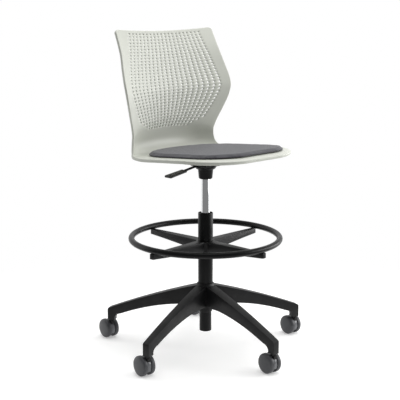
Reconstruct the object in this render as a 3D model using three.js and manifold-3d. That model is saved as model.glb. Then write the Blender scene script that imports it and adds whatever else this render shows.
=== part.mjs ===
// Drafting chair: a moulded seat-and-back shell with a thin pad, on a gas lift with a foot ring
// and a five-legged base on twin-wheel casters.
// Millimetres, +Z up, the sitter faces -Y and the sitter's left is +X. Every piece is built around the
// column's axis at X = Y = 0, and the whole group is then centred on its own footprint.
import * as THREE from "three";
import { mergeVertices } from "three/addons/utils/BufferGeometryUtils.js";
import Module from "manifold-3d";

const wasm = await Module();
wasm.setup();

// ---- Driving dimensions ----------------------------------------------------------------------------------

const GAP = 0.3; // clearance between pieces that touch

// Seat and back shell
const SEAT_HEIGHT = 634; // shell's upper face above the floor, at the column's axis
const SEAT_RAKE = 4.5; // degrees that the seat falls towards the back
const SEAT_FRONT = 250; // front edge ahead of the axis
const SEAT_HALF_WIDTH = 207;
const SEAT_CORNER = 145; // radius of the two front corners, in plan
const SEAT_LIP_DROP = 9; // how far the front edge rolls down
const BACK_HEIGHT = 370.5; // middle of the back's top edge above SEAT_HEIGHT
const BACK_HALF_WIDTH = 227; // at the hips, its widest point
const BACK_HORN = 5; // how far the top corners stand above the middle of the top edge
const BACK_CORNER = 12; // radius of the top corners
const SHELL_WALL = 7;
const SHELL_RIM = 10; // thickness of the rolled rim
const SHELL_RIM_REACH = 16; // width of the strip that thickens into the rim

// Seat pad
const PAD_FRONT = 235;
const PAD_REAR = -175;
const PAD_HALF_WIDTH = 170;
const PAD_FRONT_CORNER = 108;
const PAD_REAR_CORNER = 150;
const PAD_THICKNESS = 12;

// Gas lift
const COLUMN_RADIUS = 23.5;
const COLUMN_WALL = 2.5;
const COLUMN_TOP = 442.5;
const COLUMN_FOOT_RADIUS = 19.3; // below the hub's taper
const COLUMN_FOOT_WALL = 2.3;
const COLUMN_BOTTOM = 55;
const TUBE_RADIUS = 14;
const TUBE_WALL = 1.5;
const TUBE_BOTTOM = 159;
const ROD_RADIUS = 5;
const PISTON_TOP = 348;
const PISTON_HEIGHT = 14;
const BUSH_LENGTH = 90;
const RELEASE_PIN_RADIUS = 4;
const RELEASE_TRAVEL = 1.6;

// Seat fixing
const SOCKET_DROP = 43; // socket's top below SEAT_HEIGHT
const SOCKET_HEIGHT = 40;
const SOCKET_WALL = 10;
const SOCKET_FLANGE = 20; // flange's reach beyond the tube
const BRACKET_SIZE = 76;
const PLATE_WIDTH = 130;
const PLATE_DEPTH = 120;
const PLATE_THICKNESS = 3;
const SEAT_SCREW_INSET = 14; // from the plate's edges to its screws
const SEAT_SCREW_RADIUS = 2.5;
const SEAT_SCREW_BITE = 4; // how far a screw enters the shell

// Height lever
const LEVER_PIVOT_X = -22;
const LEVER_RISE = 6.5; // pivot above the socket's top
const LEVER_ROD_RADIUS = 4;
const LEVER_BEND_X = -30; // where the rod leaves the level
const LEVER_ROD_END = [-92, -13]; // X, and Z from the pivot
const LEVER_TIP = [-160, -23.5];
const PADDLE_WIDTH = 26;
const PADDLE_THICKNESS = 6;
const LEVER_PIN_RADIUS = 1.5;

// Foot ring
const RING_RADIUS = 234.5; // centre line
const RING_TUBE_RADIUS = 9.5;
const RING_HEIGHT = 362; // centre line above the floor
const RING_TURN = 2.6; // degrees that the spokes are turned from the seat's axes
const RING_SPOKES = 4;
const SPOKE_END = 241;
const SPOKE_END_WIDTH = 15;
const SPOKE_ROOT_WIDTH = 34;
const SPOKE_END_HEIGHT = 17;
const SPOKE_ROOT_HEIGHT = 28;
const RING_HUB_WALL = 6;
const RING_HUB_HEIGHT = 34;
const RING_SCREW_RADIUS = 2;

// Star base
const LEGS = 5;
const BASE_TURN = -95.3; // degrees, the first leg's direction
const STEM_CIRCLE = 320; // radius of the circle that the caster stems stand on
const HUB_WALL = 9;
const HUB_TOP = 215;
const HUB_BOTTOM = 126;
const LEG_ROOT_WIDTH = 40;
const LEG_TIP_WIDTH = 28;
const LEG_END_RADIUS = 14;
const LEG_END_HEIGHT = 39.5;
const LEG_END_CLEARANCE = 2; // above the wheels
const LEG_ROOT_TOP = 212;
const LEG_ROOT_BOTTOM = 140;
const LEG_ROOT_REACH = 85; // where the underside leaves the hub
const LEG_TIP_DEPTH = 21; // from the top line to the underside, at the leg end
const LEG_ARCH = 6; // rise of the underside's middle above a straight line
const LEG_CROWN = 9; // rise of the top line's middle above a straight line

// Casters
const WHEEL_RADIUS = 31.75;
const WHEEL_WIDTH = 17;
const WHEEL_SIDES = 20;
const HOOD_WIDTH = 13;
const HOOD_INSET = 3; // inside the wheels' treads
const CASTER_TRAIL = 18; // axle behind the stem
const CASTER_HEADING = 83; // degrees, the direction that the axles trail in
const AXLE_RADIUS = 3;
const STEM_RADIUS = 5.5;
const STEM_SPIGOT_RADIUS = 4;
const STEM_COLLAR_RADIUS = 8;
const STEM_LENGTH = 36; // above the leg end's lower face
const SLEEVE_WALL = 2.2;
const COLLAR_CLEARANCE = 4.5; // hood's top below the leg end

// ---- Small tools -----------------------------------------------------------------------------------------

const DEG = Math.PI / 180;
const chair = new THREE.Group();

/** A closed geometry as a manifold-3d solid. */
function solid(geometry) {
  const bare = geometry.clone();
  bare.deleteAttribute("normal");
  bare.deleteAttribute("uv");
  const merged = mergeVertices(bare, 1e-4);
  const position = merged.attributes.position;
  const index = merged.index.array;
  const triangles = [];
  for (let i = 0; i < index.length; i += 3) {
    const [a, b, c] = [index[i], index[i + 1], index[i + 2]];
    if (a !== b && b !== c && c !== a) triangles.push(a, b, c);
  }
  return new wasm.Manifold(
    new wasm.Mesh({
      numProp: 3,
      vertProperties: new Float32Array(position.array),
      triVerts: new Uint32Array(triangles),
    }),
  );
}

/** A manifold-3d solid as a geometry. */
function geometryOf(body) {
  const mesh = body.getMesh();
  const geometry = new THREE.BufferGeometry();
  geometry.setAttribute("position", new THREE.BufferAttribute(new Float32Array(mesh.vertProperties), 3));
  geometry.setIndex(new THREE.BufferAttribute(new Uint32Array(mesh.triVerts), 1));
  const flat = geometry.toNonIndexed();
  flat.computeVertexNormals();
  return flat;
}

/** Adds a named piece to a group. */
function piece(parent, name, geometry, material) {
  const mesh = new THREE.Mesh(geometry, material);
  mesh.name = name;
  parent.add(mesh);
  return mesh;
}

/** A solid of revolution about Z from [radius, z] pairs that run anticlockwise and close on themselves. */
function turned(profile, sides = 24, start = 0) {
  const points = profile.map(([radius, z]) => new THREE.Vector2(radius, z));
  const onAxis = profile[0][0] === 0 && profile.at(-1)[0] === 0;
  if (!onAxis) points.push(points[0].clone());
  return new THREE.LatheGeometry(points, sides, start).rotateX(Math.PI / 2);
}

/** A plain cylinder along Z between two heights. */
function rod(radius, bottom, top, sides = 12) {
  return new THREE.CylinderGeometry(radius, radius, top - bottom, sides)
    .rotateX(Math.PI / 2)
    .translate(0, 0, (bottom + top) / 2);
}

/** A ring along Z between two heights. */
function ring(inner, outer, bottom, top, sides = 16) {
  const profile = [[inner, bottom], [outer, bottom], [outer, top], [inner, top]];
  return turned(profile, sides);
}

/** A box between two corners. */
function block(low, high) {
  const size = high.map((value, axis) => value - low[axis]);
  const middle = high.map((value, axis) => (value + low[axis]) / 2);
  return new THREE.BoxGeometry(...size).translate(...middle);
}

/** An outline in (radius, z) extruded to both sides of the XZ plane. */
function fin(shape, width, curveSegments = 6) {
  return new THREE.ExtrudeGeometry(shape, { depth: width, bevelEnabled: false, curveSegments })
    .rotateX(Math.PI / 2)
    .translate(0, width / 2, 0);
}

/** Narrows a fin's width linearly between two distances from the axis. */
function taper(geometry, from, to, fromWidth, toWidth) {
  const position = geometry.attributes.position;
  for (let i = 0; i < position.count; i++) {
    const along = THREE.MathUtils.clamp((position.getX(i) - from) / (to - from), 0, 1);
    position.setY(i, position.getY(i) * THREE.MathUtils.lerp(fromWidth, toWidth, along));
  }
  return geometry;
}

const finish = (color, roughness, metalness = 0) =>
  new THREE.MeshStandardMaterial({ color, roughness, metalness });

const BLACK_NYLON = finish(0x1c1d1e, 0.55);
const BLACK_STEEL = finish(0x141516, 0.4, 0.3);
const CHROME = finish(0xd8dadc, 0.12, 1);
const STEEL = finish(0x9a9c9e, 0.35, 1);
const WHITE_ACETAL = finish(0xe4e3de, 0.5);
const SHELL_PLASTIC = finish(0xd5d6d0, 0.5);
const PAD_FABRIC = finish(0x7b7b81, 0.95);
const WHEEL_PLASTIC = finish(0x5c5e60, 0.6);
const HOOD_PLASTIC = finish(0x8d8f90, 0.45);
const LEVER_PLASTIC = finish(0x18191a, 0.5);

// ---- Star base and column --------------------------------------------------------------------------------

const hubRadius = COLUMN_RADIUS + HUB_WALL;
const legEndBottom = 2 * WHEEL_RADIUS + LEG_END_CLEARANCE;
const legEndTop = legEndBottom + LEG_END_HEIGHT;
const columnTaperTop = HUB_TOP - 6;
const columnTaperBottom = HUB_BOTTOM - 4;

const sleeveOuter = STEM_RADIUS + GAP + SLEEVE_WALL;

function starBase() {
  const lower = COLUMN_FOOT_RADIUS + GAP;
  const upper = COLUMN_RADIUS + GAP;
  let body = solid(
    turned([
      [0, HUB_BOTTOM],
      [hubRadius - 4, HUB_BOTTOM],
      [hubRadius, HUB_BOTTOM + 6],
      [hubRadius, HUB_TOP - 10],
      [hubRadius - 4, HUB_TOP],
      [0, HUB_TOP],
    ], 20),
  );
  const tip = STEM_CIRCLE + LEG_END_RADIUS - 2;
  const side = new THREE.Shape();
  side.moveTo(0, LEG_ROOT_TOP);
  side.lineTo(0, LEG_ROOT_BOTTOM);
  side.lineTo(LEG_ROOT_REACH, LEG_ROOT_BOTTOM);
  const archMiddle = (LEG_ROOT_REACH + STEM_CIRCLE) / 2;
  const tipBottom = legEndTop - LEG_TIP_DEPTH;
  const archHeight = (LEG_ROOT_BOTTOM + tipBottom) / 2 + 2 * LEG_ARCH;
  side.quadraticCurveTo(archMiddle, archHeight, STEM_CIRCLE - LEG_END_RADIUS, tipBottom);
  side.lineTo(tip, tipBottom);
  side.lineTo(tip, legEndTop - 4);
  side.lineTo(tip - 6, legEndTop);
  const crownMiddle = (tip - 6) / 2;
  side.quadraticCurveTo(crownMiddle, (legEndTop + LEG_ROOT_TOP) / 2 + 2 * LEG_CROWN, 0, LEG_ROOT_TOP);
  const leg = solid(taper(fin(side, 1, 4), hubRadius, STEM_CIRCLE, LEG_ROOT_WIDTH, LEG_TIP_WIDTH));
  const end = solid(
    rod(LEG_END_RADIUS, legEndBottom, legEndTop - 3, 16).translate(STEM_CIRCLE, 0, 0),
  );
  const socket = solid(
    rod(sleeveOuter + GAP, 0, legEndBottom + STEM_LENGTH - 2).translate(STEM_CIRCLE, 0, 0),
  );
  for (let i = 0; i < LEGS; i++) {
    const turn = BASE_TURN + (360 / LEGS) * i;
    body = body.add(leg.add(end).subtract(socket).rotate([0, 0, turn]));
  }
  const bore = solid(
    turned([
      [0, HUB_BOTTOM - 10],
      [lower, HUB_BOTTOM - 10],
      [lower, columnTaperBottom],
      [upper, columnTaperTop],
      [upper, HUB_TOP + 10],
      [0, HUB_TOP + 10],
    ]),
  );
  return geometryOf(body.subtract(bore));
}
piece(chair, "star_base", starBase(), BLACK_NYLON);

const columnBore = COLUMN_RADIUS - COLUMN_WALL;
const footBore = COLUMN_FOOT_RADIUS - COLUMN_FOOT_WALL;
piece(
  chair,
  "column_tube",
  turned([
    [footBore, COLUMN_BOTTOM],
    [COLUMN_FOOT_RADIUS, COLUMN_BOTTOM],
    [COLUMN_FOOT_RADIUS, columnTaperBottom],
    [COLUMN_RADIUS, columnTaperTop],
    [COLUMN_RADIUS, COLUMN_TOP - 1],
    [COLUMN_RADIUS - 1, COLUMN_TOP],
    [columnBore, COLUMN_TOP],
    [columnBore, columnTaperTop + 2],
    [footBore, columnTaperBottom - 2],
  ]),
  BLACK_STEEL,
);

const bushTop = COLUMN_TOP - 3;
piece(
  chair,
  "guide_bush",
  turned([
    [TUBE_RADIUS + GAP, bushTop - BUSH_LENGTH],
    [columnBore - GAP, bushTop - BUSH_LENGTH],
    [columnBore - GAP, bushTop],
    [TUBE_RADIUS + 3, bushTop],
    [TUBE_RADIUS + GAP, bushTop - 3],
  ]),
  BLACK_NYLON,
);

const endPlateBottom = COLUMN_BOTTOM + 9;
const endPlateTop = endPlateBottom + 4;
piece(
  chair,
  "column_end_plate",
  ring(ROD_RADIUS + GAP, footBore - GAP, endPlateBottom, endPlateTop),
  STEEL,
);

// ---- Foot ring -------------------------------------------------------------------------------------------

const ringHubRadius = COLUMN_RADIUS + RING_HUB_WALL;
const spokeTop = RING_HEIGHT - RING_TUBE_RADIUS - GAP;
const spokeEndBottom = spokeTop - SPOKE_END_HEIGHT;
const screwHead = 3;

function footRingHub() {
  const side = new THREE.Shape();
  side.moveTo(0, spokeTop);
  side.lineTo(0, spokeTop - SPOKE_ROOT_HEIGHT);
  side.lineTo(ringHubRadius, spokeTop - SPOKE_ROOT_HEIGHT);
  side.lineTo(SPOKE_END, spokeEndBottom);
  side.lineTo(SPOKE_END, spokeTop);
  const spoke = solid(taper(fin(side, 1), ringHubRadius, SPOKE_END, SPOKE_ROOT_WIDTH, SPOKE_END_WIDTH));
  const hole = solid(rod(RING_SCREW_RADIUS + GAP, 0, RING_HEIGHT, 8).translate(RING_RADIUS, 0, 0));
  const recess = solid(
    rod(RING_SCREW_RADIUS * 2 + GAP, 0, spokeEndBottom + screwHead + 2, 8).translate(RING_RADIUS, 0, 0),
  );
  let body = solid(rod(ringHubRadius, spokeTop - RING_HUB_HEIGHT, spokeTop, 20));
  for (let i = 0; i < RING_SPOKES; i++) {
    const turn = RING_TURN + (360 / RING_SPOKES) * i;
    body = body.add(spoke.subtract(hole).subtract(recess).rotate([0, 0, turn]));
  }
  return geometryOf(body.subtract(solid(rod(COLUMN_RADIUS + GAP, 0, COLUMN_TOP, 24))));
}
piece(chair, "foot_ring_hub", footRingHub(), BLACK_NYLON);

const ringScrewTop = RING_HEIGHT - 2;
function footRing() {
  let body = solid(new THREE.TorusGeometry(RING_RADIUS, RING_TUBE_RADIUS, 8, 48).translate(0, 0, RING_HEIGHT));
  const hole = solid(
    rod(RING_SCREW_RADIUS + GAP, 0, ringScrewTop + GAP, 8).translate(RING_RADIUS, 0, 0),
  );
  for (let i = 0; i < RING_SPOKES; i++) {
    body = body.subtract(hole.rotate([0, 0, RING_TURN + (360 / RING_SPOKES) * i]));
  }
  return geometryOf(body);
}
piece(chair, "foot_ring", footRing(), BLACK_STEEL);

for (let i = 0; i < RING_SPOKES; i++) {
  const turn = (RING_TURN + (360 / RING_SPOKES) * i) * DEG;
  const headBottom = spokeEndBottom + 1.5;
  const screw = turned([
    [0, headBottom],
    [RING_SCREW_RADIUS * 2, headBottom],
    [RING_SCREW_RADIUS * 2, headBottom + screwHead],
    [RING_SCREW_RADIUS, headBottom + screwHead],
    [RING_SCREW_RADIUS, ringScrewTop],
    [0, ringScrewTop],
  ], 8).translate(RING_RADIUS * Math.cos(turn), RING_RADIUS * Math.sin(turn), 0);
  piece(chair, `ring_screw_${i + 1}`, screw, STEEL);
}

// ---- Piston rod, which turns in the column's foot --------------------------------------------------------

const bearingBottom = endPlateTop + GAP;
const bearingTop = bearingBottom + 6;
const shoulderBottom = bearingTop + GAP;
const shoulderTop = shoulderBottom + 4;
const pistonBottom = PISTON_TOP - PISTON_HEIGHT;
piece(
  chair,
  "piston_rod",
  turned([
    [0, COLUMN_BOTTOM + 2],
    [ROD_RADIUS, COLUMN_BOTTOM + 2],
    [ROD_RADIUS, shoulderBottom],
    [ROD_RADIUS + 3, shoulderBottom],
    [ROD_RADIUS + 3, shoulderTop],
    [ROD_RADIUS, shoulderTop],
    [ROD_RADIUS, PISTON_TOP + 4],
    [0, PISTON_TOP + 4],
  ], 12),
  STEEL,
);
const pistonRadius = TUBE_RADIUS - TUBE_WALL - GAP;
piece(chair, "piston", ring(ROD_RADIUS + GAP, pistonRadius, pistonBottom, PISTON_TOP), WHITE_ACETAL);
piece(chair, "thrust_bearing", ring(ROD_RADIUS + GAP, footBore - 2, bearingBottom, bearingTop), STEEL);
piece(
  chair,
  "retaining_clip",
  ring(ROD_RADIUS + GAP, ROD_RADIUS + 4, endPlateBottom - GAP - 2, endPlateBottom - GAP),
  STEEL,
);

// ---- Pressure tube and seat fixing -----------------------------------------------------------------------

const socketTop = SEAT_HEIGHT - SOCKET_DROP;
const socketBottom = socketTop - SOCKET_HEIGHT;
const socketRadius = TUBE_RADIUS + SOCKET_WALL;
const flangeRadius = TUBE_RADIUS + SOCKET_FLANGE;
const tubeTop = socketTop - 0.5;
const tubeBore = TUBE_RADIUS - TUBE_WALL;
const tubeCap = 16; // solid length at the tube's top, around the release pin
piece(
  chair,
  "pressure_tube",
  turned([
    [tubeBore, TUBE_BOTTOM],
    [TUBE_RADIUS, TUBE_BOTTOM],
    [TUBE_RADIUS, tubeTop - 1],
    [TUBE_RADIUS - 1, tubeTop],
    [RELEASE_PIN_RADIUS + GAP, tubeTop],
    [RELEASE_PIN_RADIUS + GAP, tubeTop - tubeCap],
    [tubeBore, tubeTop - tubeCap],
  ]),
  CHROME,
);
piece(
  chair,
  "rod_guide",
  ring(ROD_RADIUS + GAP, tubeBore - GAP, TUBE_BOTTOM + 0.5, TUBE_BOTTOM + 17),
  BLACK_NYLON,
);
piece(
  chair,
  "taper_socket",
  turned([
    [TUBE_RADIUS + GAP, socketBottom],
    [socketRadius - 5, socketBottom],
    [socketRadius - 2.5, socketBottom + 3],
    [socketRadius, socketTop - 10],
    [flangeRadius - 4, socketTop - 8],
    [flangeRadius, socketTop - 2],
    [flangeRadius, socketTop],
    [TUBE_RADIUS + GAP, socketTop],
  ]),
  BLACK_NYLON,
);

// The seat's flat is a plane through (0, 0, SEAT_HEIGHT) that falls towards the back.
const rakeSlope = Math.tan(SEAT_RAKE * DEG);
const seatPlane = (ahead) => SEAT_HEIGHT + ahead * rakeSlope;
const raked = new THREE.Group();
raked.position.z = SEAT_HEIGHT;
raked.rotation.x = -SEAT_RAKE * DEG;
chair.add(raked);

const plateTop = -SHELL_WALL - GAP;
const plateBottom = plateTop - PLATE_THICKNESS;
const screwX = PLATE_WIDTH / 2 - SEAT_SCREW_INSET;
const screwY = PLATE_DEPTH / 2 - SEAT_SCREW_INSET;
const screwPlaces = [[-screwX, -screwY], [screwX, -screwY], [screwX, screwY], [-screwX, screwY]];

function mountPlate() {
  let body = solid(
    block([-PLATE_WIDTH / 2, -PLATE_DEPTH / 2, plateBottom], [PLATE_WIDTH / 2, PLATE_DEPTH / 2, plateTop]),
  );
  for (const [x, y] of screwPlaces) {
    const hole = rod(SEAT_SCREW_RADIUS + GAP, plateBottom - 1, plateTop + 1, 8).translate(x, y, 0);
    body = body.subtract(solid(hole));
  }
  return geometryOf(body);
}
piece(raked, "mount_plate", mountPlate(), BLACK_STEEL);

screwPlaces.forEach(([x, y], i) => {
  const headTop = plateBottom - GAP;
  const screw = turned([
    [0, headTop - screwHead],
    [SEAT_SCREW_RADIUS * 2, headTop - screwHead],
    [SEAT_SCREW_RADIUS * 2, headTop],
    [SEAT_SCREW_RADIUS, headTop],
    [SEAT_SCREW_RADIUS, plateTop + GAP + SEAT_SCREW_BITE],
    [0, plateTop + GAP + SEAT_SCREW_BITE],
  ], 8).translate(x, y, 0);
  piece(raked, `seat_screw_${i + 1}`, screw, STEEL);
});

const leverSlotHalf = LEVER_ROD_RADIUS + 2;
const leverPivotZ = socketTop + LEVER_RISE;
function seatBracket() {
  const half = BRACKET_SIZE / 2;
  const base = socketTop + GAP;
  const drop = (-plateBottom + GAP) / Math.cos(SEAT_RAKE * DEG);
  const side = new THREE.Shape();
  side.moveTo(-half, base);
  side.lineTo(half, base);
  side.lineTo(half, seatPlane(half) - drop);
  side.lineTo(-half, seatPlane(-half) - drop);
  const housing = fin(side, BRACKET_SIZE).rotateZ(-Math.PI / 2);
  const slot = block(
    [-half - 1, -leverSlotHalf, base - 1],
    [LEVER_ROD_RADIUS * 2, leverSlotHalf, leverPivotZ + LEVER_ROD_RADIUS + 4],
  );
  const pinHole = rod(LEVER_PIN_RADIUS + GAP, -half / 2, half / 2, 12)
    .rotateX(Math.PI / 2)
    .translate(LEVER_PIVOT_X, 0, leverPivotZ);
  return geometryOf(solid(housing).subtract(solid(slot)).subtract(solid(pinHole)));
}
piece(chair, "seat_bracket", seatBracket(), BLACK_NYLON);

// ---- Height lever and release pin ------------------------------------------------------------------------

const leverPinHalf = BRACKET_SIZE / 4 - 1;
piece(
  chair,
  "lever_pivot_pin",
  rod(LEVER_PIN_RADIUS, -leverPinHalf, leverPinHalf, 12)
    .rotateX(Math.PI / 2)
    .translate(LEVER_PIVOT_X, 0, leverPivotZ),
  STEEL,
);

const levelPoint = (x, z) => new THREE.Vector3(x, 0, z);
const [rodEndX, rodEndZ] = [LEVER_ROD_END[0], leverPivotZ + LEVER_ROD_END[1]];
const [tipX, tipZ] = [LEVER_TIP[0], leverPivotZ + LEVER_TIP[1]];
const paddleSlope = (rodEndZ - tipZ) / (rodEndX - tipX);

function leverRod() {
  const path = new THREE.CurvePath();
  const tongue = 8; // length of rod inside the paddle
  const stops = [
    levelPoint(RELEASE_PIN_RADIUS + 1, leverPivotZ),
    levelPoint(LEVER_BEND_X, leverPivotZ),
    levelPoint(rodEndX, rodEndZ),
    levelPoint(rodEndX - tongue, rodEndZ - tongue * paddleSlope),
  ];
  for (let i = 1; i < stops.length; i++) path.add(new THREE.LineCurve3(stops[i - 1], stops[i]));
  const section = new THREE.Shape().absarc(0, 0, LEVER_ROD_RADIUS, 0, Math.PI * 2);
  const bar = new THREE.ExtrudeGeometry(section, { steps: 14, curveSegments: 5, extrudePath: path });
  const eye = rod(LEVER_PIN_RADIUS + GAP, -20, 20, 12)
    .rotateX(Math.PI / 2)
    .translate(LEVER_PIVOT_X, 0, leverPivotZ);
  return geometryOf(solid(bar).subtract(solid(eye)));
}
piece(chair, "lever_rod", leverRod(), BLACK_STEEL);

function leverPaddle() {
  const length = Math.hypot(rodEndX - tipX, rodEndZ - tipZ);
  const slant = Math.atan2(rodEndZ - tipZ, rodEndX - tipX);
  const neck = PADDLE_WIDTH / 2 - 3;
  const outline = new THREE.Shape();
  outline.moveTo(0, -LEVER_ROD_RADIUS - 2);
  outline.quadraticCurveTo(-length / 4, -neck, -length / 2, -PADDLE_WIDTH / 2);
  outline.lineTo(-length + 4, -PADDLE_WIDTH / 2);
  outline.quadraticCurveTo(-length, -PADDLE_WIDTH / 2, -length, -PADDLE_WIDTH / 2 + 4);
  outline.lineTo(-length, PADDLE_WIDTH / 2 - 4);
  outline.quadraticCurveTo(-length, PADDLE_WIDTH / 2, -length + 4, PADDLE_WIDTH / 2);
  outline.lineTo(-length / 2, PADDLE_WIDTH / 2);
  outline.quadraticCurveTo(-length / 4, neck, 0, LEVER_ROD_RADIUS + 2);
  const thickness = LEVER_ROD_RADIUS * 2 + 2;
  const flat = new THREE.ExtrudeGeometry(outline, { depth: thickness, bevelEnabled: false, curveSegments: 4 });
  const position = flat.attributes.position;
  for (let i = 0; i < position.count; i++) {
    const along = THREE.MathUtils.clamp(-position.getX(i) / (length / 2), 0, 1);
    const thin = THREE.MathUtils.lerp(1, PADDLE_THICKNESS / thickness, along);
    position.setZ(i, (position.getZ(i) - thickness / 2) * thin);
  }
  const socket = rod(LEVER_ROD_RADIUS + GAP, -12, 12, 12)
    .rotateY(Math.PI / 2);
  const body = solid(flat).subtract(solid(socket));
  return geometryOf(body.rotate([0, -slant / DEG, 0]).translate([rodEndX, 0, rodEndZ]));
}
piece(chair, "lever_paddle", leverPaddle(), LEVER_PLASTIC);

const pinTop = leverPivotZ - LEVER_ROD_RADIUS - GAP;
piece(chair, "release_pin", rod(RELEASE_PIN_RADIUS, tubeTop - tubeCap / 2, pinTop), STEEL);

// ---- Seat and back shell ---------------------------------------------------------------------------------

// Stations along the shell's middle line, from the front edge to the top of the back. Each has its distance
// ahead of the axis, its height above SEAT_HEIGHT, its half width, and how far its edges stand out of the
// middle line towards the sitter.
const onSeat = (ahead, lift, halfWidth, wrap) => [ahead, seatPlane(ahead) - SEAT_HEIGHT + lift, halfWidth, wrap];
const hip = BACK_HALF_WIDTH;
const seatEdge = SEAT_HALF_WIDTH;
const tall = (share) => share * BACK_HEIGHT;
const STATIONS = [
  onSeat(SEAT_FRONT, -SEAT_LIP_DROP, seatEdge, 0),
  onSeat(SEAT_FRONT - 20, -SEAT_LIP_DROP / 5, seatEdge, 0),
  onSeat(SEAT_FRONT - 55, 0, seatEdge, 0),
  onSeat(SEAT_FRONT - 130, 0, seatEdge, 0),
  onSeat(0, 0, seatEdge, 0),
  onSeat(-80, 0, seatEdge - 3, 0),
  onSeat(PAD_REAR + 25, -3.5, seatEdge - 22, 16),
  onSeat(PAD_REAR + 4, -2, seatEdge - 38, 44),
  onSeat(PAD_REAR - 9, 8, seatEdge - 45, 62),
  [PAD_REAR - 18, 5, hip - 61.5, 66],
  [PAD_REAR - 22, 25, hip - 56, 63],
  [PAD_REAR - 13, tall(0.134), hip - 52.5, 54.5],
  [PAD_REAR - 2.5, tall(0.198), hip - 48.5, 46],
  [PAD_REAR + 4.5, tall(0.251), hip - 40, 43],
  [PAD_REAR + 10.5, tall(0.335), hip - 24.5, 46],
  [PAD_REAR + 14.5, tall(0.429), hip - 9.5, 51.5],
  [PAD_REAR + 15.5, tall(0.506), hip - 0.5, 53.5],
  [PAD_REAR + 12.5, tall(0.559), hip, 51],
  [PAD_REAR + 3.5, tall(0.673), hip - 6, 44],
  [PAD_REAR - 6, tall(0.811), hip - 15, 34],
  [PAD_REAR - 22.5, BACK_HEIGHT, hip - 19.5, 19],
];

const middleLine = new THREE.CatmullRomCurve3(
  STATIONS.map(([ahead, rise, halfWidth]) => new THREE.Vector3(ahead, rise, halfWidth)),
);
const wrapLine = new THREE.CatmullRomCurve3(
  STATIONS.map(([ahead, rise, , wrap]) => new THREE.Vector3(ahead, rise, wrap)),
);

const smooth = (from, to, value) => THREE.MathUtils.smoothstep(value, from, to);
const roundedDrop = (distance, radius) => radius - Math.sqrt(Math.max(radius ** 2 - Math.max(distance, 0) ** 2, 0));

/** A point of the shell: across runs from -1 to 1, along from 0 to 1, and depth from -1, below, to 1, above. */
function shellPoint(across, along, depth) {
  const here = middleLine.getPoint(along);
  const next = middleLine.getPoint(Math.min(along + 1e-3, 1));
  const last = middleLine.getPoint(Math.max(along - 1e-3, 0));
  const tangent = new THREE.Vector2(next.x - last.x, next.y - last.y).normalize();
  const normal = new THREE.Vector2(tangent.y, -tangent.x);
  const halfWidth = here.z;
  const x = across * halfWidth;
  // The back's edges turn forward evenly from its middle; the seat's turn up late, clear of the pad.
  const even = smooth(0, 90, here.y);
  const wrap = wrapLine.getPoint(along).z * THREE.MathUtils.lerp(across ** 4, across ** 2, even);

  const cornerStart = SEAT_FRONT - SEAT_CORNER - 50;
  const cornerCut = roundedDrop(Math.abs(x) - (SEAT_HALF_WIDTH - SEAT_CORNER), SEAT_CORNER);
  const frontShare = along < 0.3 ? Math.max((here.x - cornerStart) / (SEAT_FRONT - cornerStart), 0) : 0;
  const setBack = frontShare * cornerCut;

  const topShare = smooth(BACK_HEIGHT - 60, BACK_HEIGHT, here.y);
  const topCut = roundedDrop(Math.abs(x) - (halfWidth - BACK_CORNER), BACK_CORNER);
  const topShift = topShare * (BACK_HORN * across ** 2 - topCut);

  const lip = along < 0.3 ? seatPlane(here.x) - SEAT_HEIGHT - here.y : 0;
  const lipFade = lip * (cornerCut / SEAT_CORNER);

  let ahead = here.x - setBack + topShift * tangent.x;
  let rise = here.y - setBack * rakeSlope + lipFade + topShift * tangent.y;

  const sideDistance = (1 - Math.abs(across)) * halfWidth;
  const endDistance = Math.min(frontDistance(along), topDistance(along));
  const rimShare = 1 - smooth(0, SHELL_RIM_REACH, Math.min(sideDistance, endDistance));
  const wall = THREE.MathUtils.lerp(SHELL_WALL, SHELL_RIM, rimShare);
  const below = (0.5 - depth / 2) * wall;
  ahead += normal.x * (wrap - below);
  rise += normal.y * (wrap - below);
  return new THREE.Vector3(x, -ahead, SEAT_HEIGHT + rise);
}

/** Distance along the middle line from the front edge, and from the top edge. */
function frontDistance(along) {
  const here = middleLine.getPoint(along);
  return along < 0.3 ? SEAT_FRONT - here.x : Infinity;
}
function topDistance(along) {
  const here = middleLine.getPoint(along);
  return along > 0.7 ? BACK_HEIGHT - here.y : Infinity;
}

function seatShell() {
  const [acrossCells, alongCells] = [14, 32];
  const sheet = new THREE.BoxGeometry(2, 1, 2, acrossCells, alongCells, 1);
  const position = sheet.attributes.position;
  for (let i = 0; i < position.count; i++) {
    const even = position.getX(i);
    const across = 1.5 * even - 0.5 * even ** 3;
    const point = shellPoint(across, position.getY(i) + 0.5, position.getZ(i));
    position.setXYZ(i, point.x, point.y, point.z);
  }
  let body = solid(sheet);
  for (const [x, y] of screwPlaces) {
    const hole = rod(SEAT_SCREW_RADIUS + GAP, plateTop - 5, plateTop + GAP + SEAT_SCREW_BITE + GAP, 8)
      .translate(x, y, 0)
      .rotateX(-SEAT_RAKE * DEG)
      .translate(0, 0, SEAT_HEIGHT);
    body = body.subtract(solid(hole));
  }
  return geometryOf(body);
}
piece(chair, "seat_shell", seatShell(), SHELL_PLASTIC);

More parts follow.
